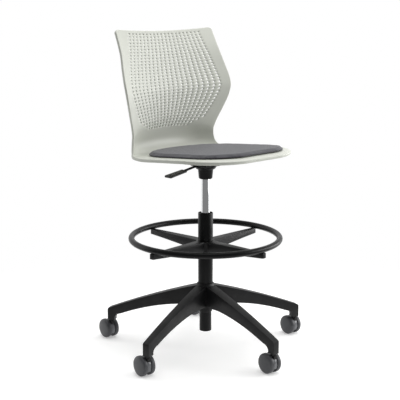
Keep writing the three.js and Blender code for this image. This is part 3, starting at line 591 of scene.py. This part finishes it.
plate = bmesh.new()
bmesh.ops.create_cube(plate, size=1)
bmesh.ops.scale(plate, verts=plate.verts, vec=(130 * mm, 120 * mm, 3 * mm))
soften(plate, 12, 5, 60, lambda e: abs(e.verts[0].co.z - e.verts[1].co.z) > 1 * mm)
soften(plate, 0.6, 2, 60)
plate = object_of(plate, "seat_plate")
plate.data.transform(raked @ Matrix.Translation((0, 0, -8.8 * mm)))
fit(plate, "seat", ["mount_plate"], coat)

for i in range(4):
    low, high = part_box(f"seat_screw_{i + 1}")
    centre = (low + high) / 2
    screw = turned([[0, -13.3], [4, -13.3], [5, -12.3], [5, -10.4], [2.5, -10.4], [2.5, -7], [0, -7]], 24)
    recess = [f for f in screw.faces if f.normal.z < -0.9 and f.calc_center_median().xy.length < 4 * mm]
    bmesh.ops.inset_region(screw, faces=recess, thickness=1.8 * mm, use_even_offset=True)
    bmesh.ops.translate(screw, verts=list({v for f in recess for v in f.verts}), vec=(0, 0, 1.6 * mm))
    screw = object_of(screw, f"seat_fixing_{i + 1}")
    screw.data.transform(raked @ Matrix.Translation((centre.x - axis.x, centre.y - axis.y, 0)))
    fit(screw, "seat", [f"seat_screw_{i + 1}"], zinc)

# ---- Height lever ----------------------------------------------------------------------------------------
# A bent steel rod rocks on a pin in the mount box, and its inner end presses the valve. A flat moulded paddle
# is pushed on its outer end, where the sitter's hand finds it under the seat's right edge.

rod_path = [(5, 597.5), (-25, 597.5), (-30, 597.2), (-35, 596.4), (-92, 586.5), (-106, 584.5)]
rod = bmesh.new()
bmesh.ops.create_circle(rod, cap_ends=True, radius=3.8 * mm, segments=20)
turn(rod, 90, "Y")
bmesh.ops.translate(rod, verts=rod.verts, vec=(rod_path[0][0] * mm, 0, rod_path[0][1] * mm))
end_face = rod.faces[:]
for start, stop in zip(rod_path, rod_path[1:]):
    out = bmesh.ops.extrude_face_region(rod, geom=end_face)["geom"]
    end_face = [f for f in out if isinstance(f, bmesh.types.BMFace)]
    ring = new_verts(out)
    bmesh.ops.translate(rod, verts=ring, vec=((stop[0] - start[0]) * mm, 0, (stop[1] - start[1]) * mm))
bmesh.ops.recalc_face_normals(rod, faces=rod.faces)
soften(rod, 0.5, 2, 60)
rod = object_of(rod, "lever_bent_rod")
rod.data.transform(Matrix.Translation(axis))
fit(rod, "lever", ["lever_rod"], coat, 50)

# Moulded polypropylene grip: black, satin, with the fine grain of a spark-eroded mould.
grip_black = new_material("moulded_polypropylene_black")
place = add(grip_black, "ShaderNodeTexCoord").outputs["Object"]
grain = add(grip_black, "ShaderNodeTexNoise", {"Vector": place, "Scale": 1 / (0.9 * mm), "Detail": 2.0})
shine = add(grip_black, "ShaderNodeTexNoise", {"Vector": place, "Scale": 1 / (25 * mm), "Detail": 3.0})
tone = add(
    grip_black, "ShaderNodeMix", {0: shine.outputs["Fac"], 6: linear("#151517"), 7: linear("#202022")},
    data_type="RGBA",
)
gloss = add(grip_black, "ShaderNodeMapRange", {"Value": shine.outputs["Fac"], "To Min": 0.4, "To Max": 0.55})
bump = add(
    grip_black, "ShaderNodeBump", {"Height": grain.outputs["Fac"], "Strength": 0.4, "Distance": 0.1 * mm},
)
skin = add(
    grip_black, "ShaderNodeBsdfPrincipled",
    {
        "Base Color": tone.outputs[2], "Roughness": gloss.outputs["Result"], "Normal": bump.outputs["Normal"],
        "IOR": 1.49,
    },
)
add(grip_black, "ShaderNodeOutputMaterial", {"Surface": skin.outputs["BSDF"]})

paddle = bmesh.new()
bmesh.ops.create_cube(paddle, size=1)
for v in paddle.verts:
    outer = v.co.x < 0
    v.co = Vector((
        -161 if outer else -92, v.co.y * (32 if outer else 27), (576 if outer else 586.5) + v.co.z * 6.5,
    )) * mm
soften(paddle, 9.5, 6, 60, lambda e: abs(e.verts[0].co.z - e.verts[1].co.z) > 4 * mm)
soften(paddle, 1.8, 3, 50)
paddle = object_of(paddle, "lever_grip")
paddle.data.transform(Matrix.Translation(axis))
fit(paddle, "lever", ["lever_paddle"], grip_black)

# ---- Seat shell ------------------------------------------------------------------------------------------
# Seat and back are one injection moulding of grey polypropylene. The back curves round the sitter and narrows
# to a waist, and twenty columns of small through-slots are moulded in it. Every edge has a thick rounded rim.

# Moulded polypropylene: warm light grey, semi-matt, with a fine grain, and faint cloudiness from the melt's flow.
shell_grey = new_material("moulded_polypropylene_light_grey")
place = add(shell_grey, "ShaderNodeTexCoord").outputs["Object"]
# 0.3 mm, coarsened
grain = add(shell_grey, "ShaderNodeTexNoise", {"Vector": place, "Scale": 1 / (1.4 * mm), "Detail": 2.0})
flow = add(shell_grey, "ShaderNodeTexNoise", {"Vector": place, "Scale": 1 / (80 * mm), "Detail": 3.0})
tone = add(
    shell_grey, "ShaderNodeMix", {0: flow.outputs["Fac"], 6: linear("#c4c6bd"), 7: linear("#cccec5")},
    data_type="RGBA",
)
gloss = add(shell_grey, "ShaderNodeMapRange", {"Value": flow.outputs["Fac"], "To Min": 0.38, "To Max": 0.48})
bump = add(
    shell_grey, "ShaderNodeBump", {"Height": grain.outputs["Fac"], "Strength": 0.2, "Distance": 0.08 * mm},
)
skin = add(
    shell_grey, "ShaderNodeBsdfPrincipled",
    {
        "Base Color": tone.outputs[2], "Roughness": gloss.outputs["Result"], "Normal": bump.outputs["Normal"],
        "IOR": 1.49,
    },
)
add(shell_grey, "ShaderNodeOutputMaterial", {"Surface": skin.outputs["BSDF"]})

seat_front, seat_half, seat_corner, back_height, back_corner, horn = 250, 207, 145, 370.5, 12, 5
wall, slotted_wall, rim, rim_reach = 7, 4.2, 10, 16
tilt = math.tan(rake)
pad_rear, hip = -175, 227

# Sections from the front edge, back along the seat and up the back: ahead of the column, rise above the seat
# height at the column, half width, and how far the sides wrap towards the sitter.
sections = np.array(
    [[a, a * tilt + lift, half, wrap] for a, lift, half, wrap in (
        (250, -9, 207, 0), (230, -1.8, 207, 0), (195, 0, 207, 0), (120, 0, 207, 0), (0, 0, 207, 0), (-80, 0, 204, 0),
        (pad_rear + 25, -3.5, seat_half - 22, 16), (pad_rear + 4, -2, seat_half - 38, 44),
        (pad_rear - 9, 8, seat_half - 45, 62),
    )]
    + [[pad_rear + back, back_height * share, hip - narrower, wrap] for back, share, narrower, wrap in (
        (-18, 0.0135, 61.5, 66), (-22, 0.0675, 56, 63), (-13, 0.134, 52.5, 54.5), (-2.5, 0.198, 48.5, 46),
        (4.5, 0.251, 40, 43), (10.5, 0.335, 24.5, 46), (14.5, 0.429, 9.5, 51.5), (15.5, 0.506, 0.5, 53.5),
        (12.5, 0.559, 0, 51), (3.5, 0.673, 6, 44), (-6, 0.811, 15, 34), (-22.5, 1, 19.5, 19),
    )]
)


def smooth_line(points, t):
    """Centripetal Catmull-Rom curve through the rows of points, at each t from 0 to 1."""
    spot = (len(points) - 1) * t
    i = np.minimum(spot.astype(int), len(points) - 2)
    w = (spot - i)[:, None]
    padded = np.vstack([2 * points[0] - points[1], points, 2 * points[-1] - points[-2]])
    p0, p1, p2, p3 = (padded[i + k] for k in range(4))
    d0, d1, d2 = ((((b - a) ** 2).sum(1) ** 0.25)[:, None] for a, b in ((p0, p1), (p1, p2), (p2, p3)))
    leave = ((p1 - p0) / d0 - (p2 - p0) / (d0 + d1) + (p2 - p1) / d1) * d1
    arrive = ((p2 - p1) / d1 - (p3 - p1) / (d1 + d2) + (p3 - p2) / d2) * d1
    return p1 + leave * w + (3 * (p2 - p1) - 2 * leave - arrive) * w**2 + (2 * (p1 - p2) + leave + arrive) * w**3


def eased(low, high, value):
    share = np.clip((value - low) / (high - low), 0, 1)
    return share * share * (3 - 2 * share)


def rounded_drop(beyond, radius):
    """How far a quarter circle has dropped at a distance past its start."""
    return radius - np.sqrt(np.maximum(radius**2 - np.clip(beyond, 0, radius) ** 2, 0))


def way_along(line, t):
    """The direction of a line that is given as a function, in its ahead and rise coordinates."""
    step = (line(np.minimum(t + 1e-3, 1)) - line(np.maximum(t - 1e-3, 0)))[:, :2]
    return step / np.linalg.norm(step, axis=1)[:, None]


def middle_line(t):
    return smooth_line(sections[:, :3], t)


# The side edge stands in front of the middle line. Where the back meets the seat it turns up in one sweep.
section_t = np.linspace(0, 1, len(sections))
section_way = way_along(middle_line, section_t)
edge = sections.copy()
edge[:, 0] += section_way[:, 1] * sections[:, 3]
edge[:, 1] -= section_way[:, 0] * sections[:, 3]
bend = slice(6, 13)  # the sections where the back meets the seat
edge[bend, :3] = [
    (-124, -6, 192), (-131, 2, 184), (-135, 12, 180), (-136.5, 22, 177.5), (-137, 33, 176.5),
    (-136.5, 44, 176.5), (-135, 57, 178.5),
]
sections[bend, 2] = edge[bend, 2]


def face_line(across, t):
    """The shell's front face before its corners are rounded: ahead, rise and half width."""
    here = middle_line(t)
    even = eased(0, 90, here[:, 1])
    reach = across**4 * (1 - even) + across**2 * even
    here[:, :2] += (smooth_line(edge[:, :3], t) - here)[:, :2] * reach[:, None]
    return here


def on_shell(across, t, below):
    """Points of the shell in metres. Across is from -1 to 1, t from front edge to top edge, below from 0 to 1."""
    ahead, rise, half = middle_line(t).T
    out_ahead, out_rise, _ = face_line(across, t).T
    way = way_along(lambda at: face_line(across, at), t)
    x = across * half
    cut = rounded_drop(np.abs(x) - (seat_half - seat_corner), seat_corner)
    corner_start = seat_front - seat_corner - 50
    on_seat = t < 0.3
    set_back = np.where(on_seat, np.maximum((ahead - corner_start) / (seat_front - corner_start), 0), 0) * cut
    lift = np.where(on_seat, (tilt * ahead - rise) * cut / seat_corner, 0)
    top_corner = rounded_drop(np.abs(x) - (half - back_corner), back_corner)
    shift = eased(back_height - 60, back_height, rise) * (horn * across**2 - top_corner)
    to_edge = np.minimum(
        (1 - np.abs(across)) * half,
        np.minimum(np.where(on_seat, seat_front - ahead, 1e9), np.where(t > 0.7, back_height - rise, 1e9)),
    )
    thin = wall - (wall - slotted_wall) * eased(25, 60, rise)
    thick = thin + (rim - thin) * (1 - eased(0, rim_reach, to_edge))
    out_ahead += shift * way[:, 0] - set_back - way[:, 1] * below * thick
    out_rise += shift * way[:, 1] - set_back * tilt + lift + way[:, 0] * below * thick
    return np.stack([x + axis.x / mm, axis.y / mm - out_ahead, seat_height + out_rise], 1) * mm


columns, rows = 20, 32
slot_flare = 1.2
slot_half_width, slot_half_height = 3.2, 2.5
first_row, row_pitch = 358.5, 9.38
back_t = 0.45  # where the way along the shell is surely on the back
fine_t = np.linspace(back_t, 1, 4000)
fine_rise = smooth_line(sections[:, :3], fine_t)[:, 1]
row_rises = [first_row - row_pitch * (rows - 1 - k) for k in range(rows)]
row_lines = [rise + side for rise in row_rises for side in (-slot_half_height, slot_half_height)]
t_lines = np.interp(row_lines + [364.8, 368.3], fine_rise, fine_t)
seat_lines = np.concatenate([[0, 0.006, 0.018, 0.036], np.arange(0.055, t_lines[0] - 0.008, 0.0166)])
t_lines = np.concatenate([seat_lines, t_lines, [1]])
margin = 5  # grid lines between the outermost slots and each side edge
across_count = 2 * columns + 2 * margin
sheet = bmesh.new()
bmesh.ops.create_grid(sheet, x_segments=across_count - 1, y_segments=len(t_lines) - 1, size=0.5)


def grid_place(co):
    """A grid point's line numbers across and along."""
    return round((co.x + 0.5) * (across_count - 1) * 2) / 2, round((co.y + 0.5) * (len(t_lines) - 1) * 2) / 2


slots = []
for f in sheet.faces:
    i, j = grid_place(f.calc_center_median())
    column, row = (i - 0.5 - margin) / 2, (j - 0.5 - len(seat_lines)) / 2
    if column in range(columns) and row in range(rows) and row >= 3 - min(column, columns - 1 - column):
        slots.append(f)
bmesh.ops.delete(sheet, geom=slots, context="FACES")
out = bmesh.ops.extrude_face_region(sheet, geom=sheet.faces[:])["geom"]
bmesh.ops.translate(sheet, verts=new_verts(out), vec=(0, 0, 1))
crease = sheet.edges.layers.float.new("crease_edge")
for e in sheet.edges:
    level = abs(e.verts[0].co.z - e.verts[1].co.z) < 0.5
    inside = all(max(abs(v.co.x), abs(v.co.y)) < 0.499 for v in e.verts)
    if level and inside and any(abs(f.normal.z) < 0.5 for f in e.link_faces):
        e[crease] = 0.5
spots = np.array([(*grid_place(v.co), v.co.z) for v in sheet.verts])
t = t_lines[spots[:, 1].astype(int)]
half = smooth_line(sections[:, :3], t)[:, 2]
rise = np.where(t < back_t, 0, smooth_line(sections[:, :3], t)[:, 1])
field = half * np.interp(rise, [0, 55, 90, 130, 190, 290, 358], [0.86, 0.66, 0.72, 0.775, 0.84, 0.785, 0.71])
from_middle = np.abs(spots[:, 0] - (across_count - 1) / 2)
in_field = from_middle < columns
line_pitch = field / (columns - 1) * 2
flared = slot_half_width + slot_flare * (1 - spots[:, 2])  # the slots open a little towards the back face
slot_side = np.where((from_middle - 0.5) % 2 < 0.5, -flared, flared)
slot_centre = (np.floor((from_middle - 0.5) / 2) + 0.5) * line_pitch
outermost = field + slot_half_width
share = (from_middle - (columns - 0.5)) / margin
x = np.where(in_field, slot_centre + slot_side, half - (half - outermost) * np.maximum(1 - share, 0) ** 1.7)
places = on_shell(np.sign(spots[:, 0] - (across_count - 1) / 2) * x / half, t, 1 - spots[:, 2])
for v, place in zip(sheet.verts, places):
    v.co = place
bmesh.ops.recalc_face_normals(sheet, faces=sheet.faces)
shell = object_of(sheet, "seat_and_back_shell")
fit(shell, "seat", ["seat_shell"], shell_grey, 180)
finer = shell.modifiers.new("finer", "SUBSURF")
finer.levels = finer.render_levels = 1

# ---- Seat pad --------------------------------------------------------------------------------------------
# A thin foam pad in a woven polyester cover lies on the seat. The cover is drawn tight over a crowned top, painted
# shade darkens the foot of its side where it sits on the shell, and it is flat only underneath, where it is glued
# down.

# Woven polyester: matt grey with a slightly violet cast. Threads are 0.8 mm apart, drawn at 2.6 mm to show.
fabric = new_material("woven_polyester_grey")
place = add(fabric, "ShaderNodeTexCoord").outputs["Object"]
thread = 2.6 * mm
warp = add(
    fabric, "ShaderNodeTexWave",
    {"Vector": place, "Scale": 1 / thread / 3.183, "Distortion": 0.6, "Detail": 1.0}, bands_direction="X",
)
weft = add(
    fabric, "ShaderNodeTexWave",
    {"Vector": place, "Scale": 1 / thread / 3.183, "Distortion": 0.6, "Detail": 1.0}, bands_direction="Y",
)
weave = add(fabric, "ShaderNodeMath", {0: warp.outputs["Fac"], 1: weft.outputs["Fac"]}, operation="MULTIPLY")
mottle = add(fabric, "ShaderNodeTexNoise", {"Vector": place, "Scale": 1 / (7 * mm), "Detail": 5.0})
pieces_of_place = add(fabric, "ShaderNodeSeparateXYZ", {"Vector": place})
slope_part = add(fabric, "ShaderNodeMath", {0: pieces_of_place.outputs["Y"], 1: tilt}, operation="MULTIPLY")
height = add(
    fabric, "ShaderNodeMath", {0: pieces_of_place.outputs["Z"], 1: slope_part.outputs["Value"]},
    operation="ADD",
)
# Painted shade: the cover is coloured darker over its lowest few millimetres, where it sits on the shell.
painted_contact_shade = add(
    fabric, "ShaderNodeMapRange",
    {
        "Value": height.outputs["Value"], "From Min": (seat_height + 2) * mm + axis.y * tilt,
        "From Max": (seat_height + 4.5) * mm + axis.y * tilt, "To Min": 1.0, "To Max": 0.0,
    },
)
tone = add(
    fabric, "ShaderNodeMix", {0: mottle.outputs["Fac"], 6: linear("#4b4b50"), 7: linear("#58585d")},
    data_type="RGBA",
)
woven = add(
    fabric, "ShaderNodeMix", {0: weave.outputs["Value"], 6: linear("#424247"), 7: tone.outputs[2]},
    data_type="RGBA",
)
# Mixes the painted shade in as a darker grey along the foot of the pad's side.
painted_shade_mixed = add(
    fabric, "ShaderNodeMix", {0: painted_contact_shade.outputs["Result"], 6: woven.outputs[2], 7: linear("#404046")},
    data_type="RGBA",
)
bump = add(fabric, "ShaderNodeBump", {"Height": weave.outputs["Value"], "Strength": 0.5, "Distance": 0.4 * mm})
skin = add(
    fabric, "ShaderNodeBsdfPrincipled",
    {
        "Base Color": painted_shade_mixed.outputs[2], "Roughness": 0.92, "Normal": bump.outputs["Normal"], "IOR": 1.45,
        "Sheen Weight": 0.25, "Sheen Roughness": 0.5,
    },
)
add(fabric, "ShaderNodeOutputMaterial", {"Surface": skin.outputs["BSDF"]})

pad_front, pad_half, front_corner, rear_corner, pad_thick = 235, 170, 108, 150, 12
start_in = -2  # the cover starts a little larger all round, because swelling draws its edge in
start_thick = pad_thick - 6
pad = bmesh.new()
corners = [
    pad.verts.new((x * mm, -ahead * mm, 0.5 * mm))
    for x, ahead in (
        (-pad_half + start_in, pad_rear + start_in), (pad_half - start_in, pad_rear + start_in),
        (pad_half - start_in, pad_front - start_in), (-pad_half + start_in, pad_front - start_in),
    )
]
pad.faces.new(corners)
for picked, radius in ((corners[:2], rear_corner), (corners[2:], front_corner)):
    bmesh.ops.bevel(
        pad, geom=picked, offset=(radius - start_in) * mm, affect="VERTICES", segments=20, profile=0.5,
        material=-1,
    )
out = bmesh.ops.extrude_face_region(pad, geom=pad.faces[:])["geom"]
bmesh.ops.translate(pad, verts=new_verts(out), vec=(0, 0, start_thick * mm))
bmesh.ops.recalc_face_normals(pad, faces=pad.faces)
soften(pad, 2, 3, 60)
pad = object_of(pad, "seat_pad_cover")
remesh = pad.modifiers.new("remesh", "REMESH")
remesh.mode, remesh.voxel_size = "VOXEL", 4.5 * mm
pad.data = bpy.data.meshes.new_from_object(pad.evaluated_get(bpy.context.evaluated_depsgraph_get()))
pad.modifiers.clear()
count = len(pad.data.vertices)
start = np.empty(count * 3)
pad.data.vertices.foreach_get("co", start)
start = start.reshape(-1, 3)
cloth = pad.modifiers.new("cloth", "CLOTH")
cloth.settings.effector_weights.gravity = 0
cloth.settings.use_pressure = True
cloth.settings.uniform_pressure_force = 4
cloth.settings.quality = 5
last_frame = 20
cloth.point_cache.frame_start, cloth.point_cache.frame_end = 1, last_frame
for number in range(1, last_frame + 1):
    bpy.context.scene.frame_set(number)
swollen = np.empty(count * 3)
pad.evaluated_get(bpy.context.evaluated_depsgraph_get()).data.vertices.foreach_get("co", swollen)
pad.modifiers.clear()
bpy.context.scene.frame_set(1)
move = swollen.reshape(-1, 3) - start
move -= move.mean(0) * (1, 1, 0)
length = np.linalg.norm(move, axis=1, keepdims=True)
cap = 6 * mm  # the foam holds the cover, so it moves no further than this
move *= np.minimum(1, cap / np.maximum(length, 1e-9))
now = start + move
now[:, 2] = np.where(start[:, 2] < 2.5 * mm, 0.5 * mm, now[:, 2])  # the underside is glued flat
now[:, 2] = np.maximum(now[:, 2], 0.5 * mm)
pad.data.vertices.foreach_set("co", now.ravel())
for v in pad.data.vertices:
    v.co = Vector((v.co.x + axis.x, v.co.y + axis.y, seat_height * mm + v.co.z - v.co.y * tilt))
fit(pad, "seat", ["seat_pad"], fabric, 180)
finer = pad.modifiers.new("finer", "SUBSURF")
finer.levels = finer.render_levels = 1

# ---- Hidden pieces of the frame --------------------------------------------------------------------------
# The rod, piston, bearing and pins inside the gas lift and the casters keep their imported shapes, and get the
# finishes of turned, hardened and moulded parts.

# Acetal: white, waxy and smooth, as moulded bearings are.
acetal = new_material("moulded_acetal_white")
place = add(acetal, "ShaderNodeTexCoord").outputs["Object"]
wax = add(acetal, "ShaderNodeTexNoise", {"Vector": place, "Scale": 1 / (5 * mm), "Detail": 2.0})
tone = add(
    acetal, "ShaderNodeMix", {0: wax.outputs["Fac"], 6: linear("#e0dfd9"), 7: linear("#eceae4")},
    data_type="RGBA",
)
gloss = add(acetal, "ShaderNodeMapRange", {"Value": wax.outputs["Fac"], "To Min": 0.25, "To Max": 0.38})
skin = add(
    acetal, "ShaderNodeBsdfPrincipled",
    {"Base Color": tone.outputs[2], "Roughness": gloss.outputs["Result"], "IOR": 1.48},
)
add(acetal, "ShaderNodeOutputMaterial", {"Surface": skin.outputs["BSDF"]})

finishes = {
    "black_nylon": nylon, "black_steel": coat, "steel": zinc, "chrome": chrome, "white_acetal": acetal,
    "lever_plastic": grip_black, "shell_plastic": shell_grey, "pad_fabric": fabric, "hood_plastic": hood_grey,
    "wheel_plastic": wheel_grey,
}
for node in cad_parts.values():
    packed = node.material_slots[0].material.name.split(".")[0] if node.material_slots else ""
    for slot_of_node in node.material_slots:
        slot_of_node.material = finishes.get(packed, zinc)

# ---- Floor, light and camera -----------------------------------------------------------------------------
# A seamless pale floor under a white tent: a large soft light overhead, broad ones at the sitter's left and
# left front, a narrow one behind on the right, and a bright backdrop.

# Matt translucent sheet over a light table: white, glowing a little, so that shadows on it stay pale. It fades
# away towards its edge, where the white tent goes on.
paper = new_material("matt_studio_floor")
place = add(paper, "ShaderNodeTexCoord").outputs["Object"]
drift = add(paper, "ShaderNodeTexNoise", {"Vector": place, "Scale": 1.5, "Detail": 2.0})
tone = add(
    paper, "ShaderNodeMix", {0: drift.outputs["Fac"], 6: linear("#f4f4f4"), 7: linear("#f7f7f6")},
    data_type="RGBA",
)
skin = add(
    paper, "ShaderNodeBsdfPrincipled",
    {
        "Base Color": tone.outputs[2], "Roughness": 0.85, "IOR": 1.4, "Emission Color": (1, 1, 1, 1),
        "Emission Strength": 0.3,
    },
)
distance = add(paper, "ShaderNodeVectorMath", {0: place}, operation="LENGTH")
fade = add(
    paper, "ShaderNodeMapRange",
    {"Value": distance.outputs["Value"], "From Min": 0.6, "From Max": 1.25, "To Min": 1.0, "To Max": 0.0},
    interpolation_type="SMOOTHSTEP",
)
clear = add(paper, "ShaderNodeBsdfTransparent")
sheet_mix = add(
    paper, "ShaderNodeMixShader",
    {0: fade.outputs["Result"], 1: clear.outputs["BSDF"], 2: skin.outputs["BSDF"]},
)
add(paper, "ShaderNodeOutputMaterial", {"Surface": sheet_mix.outputs["Shader"]})

floor = bmesh.new()
bmesh.ops.create_grid(floor, x_segments=2, y_segments=2, size=1.4)
floor = object_of(floor, "floor")
floor.data.materials.append(paper)

world = bpy.data.worlds.new("white_tent")
bpy.context.scene.world = world
world.use_nodes = True
world.node_tree.nodes.clear()
direction = add(world, "ShaderNodeTexCoord").outputs["Generated"]
backdrop = add(world, "ShaderNodeVectorMath", {0: direction, 1: (0.707, 0.707, 0.1)}, operation="DOT_PRODUCT")
wall_light = add(
    world, "ShaderNodeMapRange",
    {"Value": backdrop.outputs["Value"], "From Min": -0.1, "From Max": 0.75, "To Min": 0.3, "To Max": 0.95},
    interpolation_type="SMOOTHSTEP",
)
seen = add(world, "ShaderNodeLightPath")
strength = add(
    world, "ShaderNodeMix", {0: seen.outputs["Is Camera Ray"], 2: wall_light.outputs["Result"], 3: 1.0},
)
tent = add(world, "ShaderNodeBackground", {"Color": (1, 1, 1, 1), "Strength": strength.outputs[0]})
add(world, "ShaderNodeOutputWorld", {"Surface": tent.outputs["Background"]})


def soft_light(name, place, size, watts):
    """An area light of a width and height that faces the seat."""
    lamp = bpy.data.lights.new(name, "AREA")
    lamp.shape, lamp.energy = "RECTANGLE", watts
    lamp.size, lamp.size_y = size
    light = bpy.data.objects.new(name, lamp)
    light.location = place
    light.rotation_euler = (Vector((0, 0, 0.55)) - Vector(place)).to_track_quat("-Z", "Y").to_euler()
    bpy.context.scene.collection.objects.link(light)


soft_light("overhead", (0.2, -0.2, 3.1), (2.2, 2.0), 50)
soft_light("left_side", (2.5, -0.9, 0.65), (1.7, 1.3), 26)
soft_light("left_front", (2.0, -2.2, 1.3), (1.6, 1.6), 40)
soft_light("right_side", (-1.3, 2.2, 1.0), (1.1, 1.9), 9)

camera_data = bpy.data.cameras.new("camera")
camera_data.lens, camera_data.sensor_width = 89.289, 36
camera = bpy.data.objects.new("camera", camera_data)
camera.location = (axis.x - 2.1647, axis.y - 2.1647, 1.1007)
camera.rotation_euler = (math.radians(78.58), 0, math.radians(-44.673))
bpy.context.scene.collection.objects.link(camera)
bpy.context.scene.camera = camera
bpy.context.scene.view_settings.view_transform = "Standard"
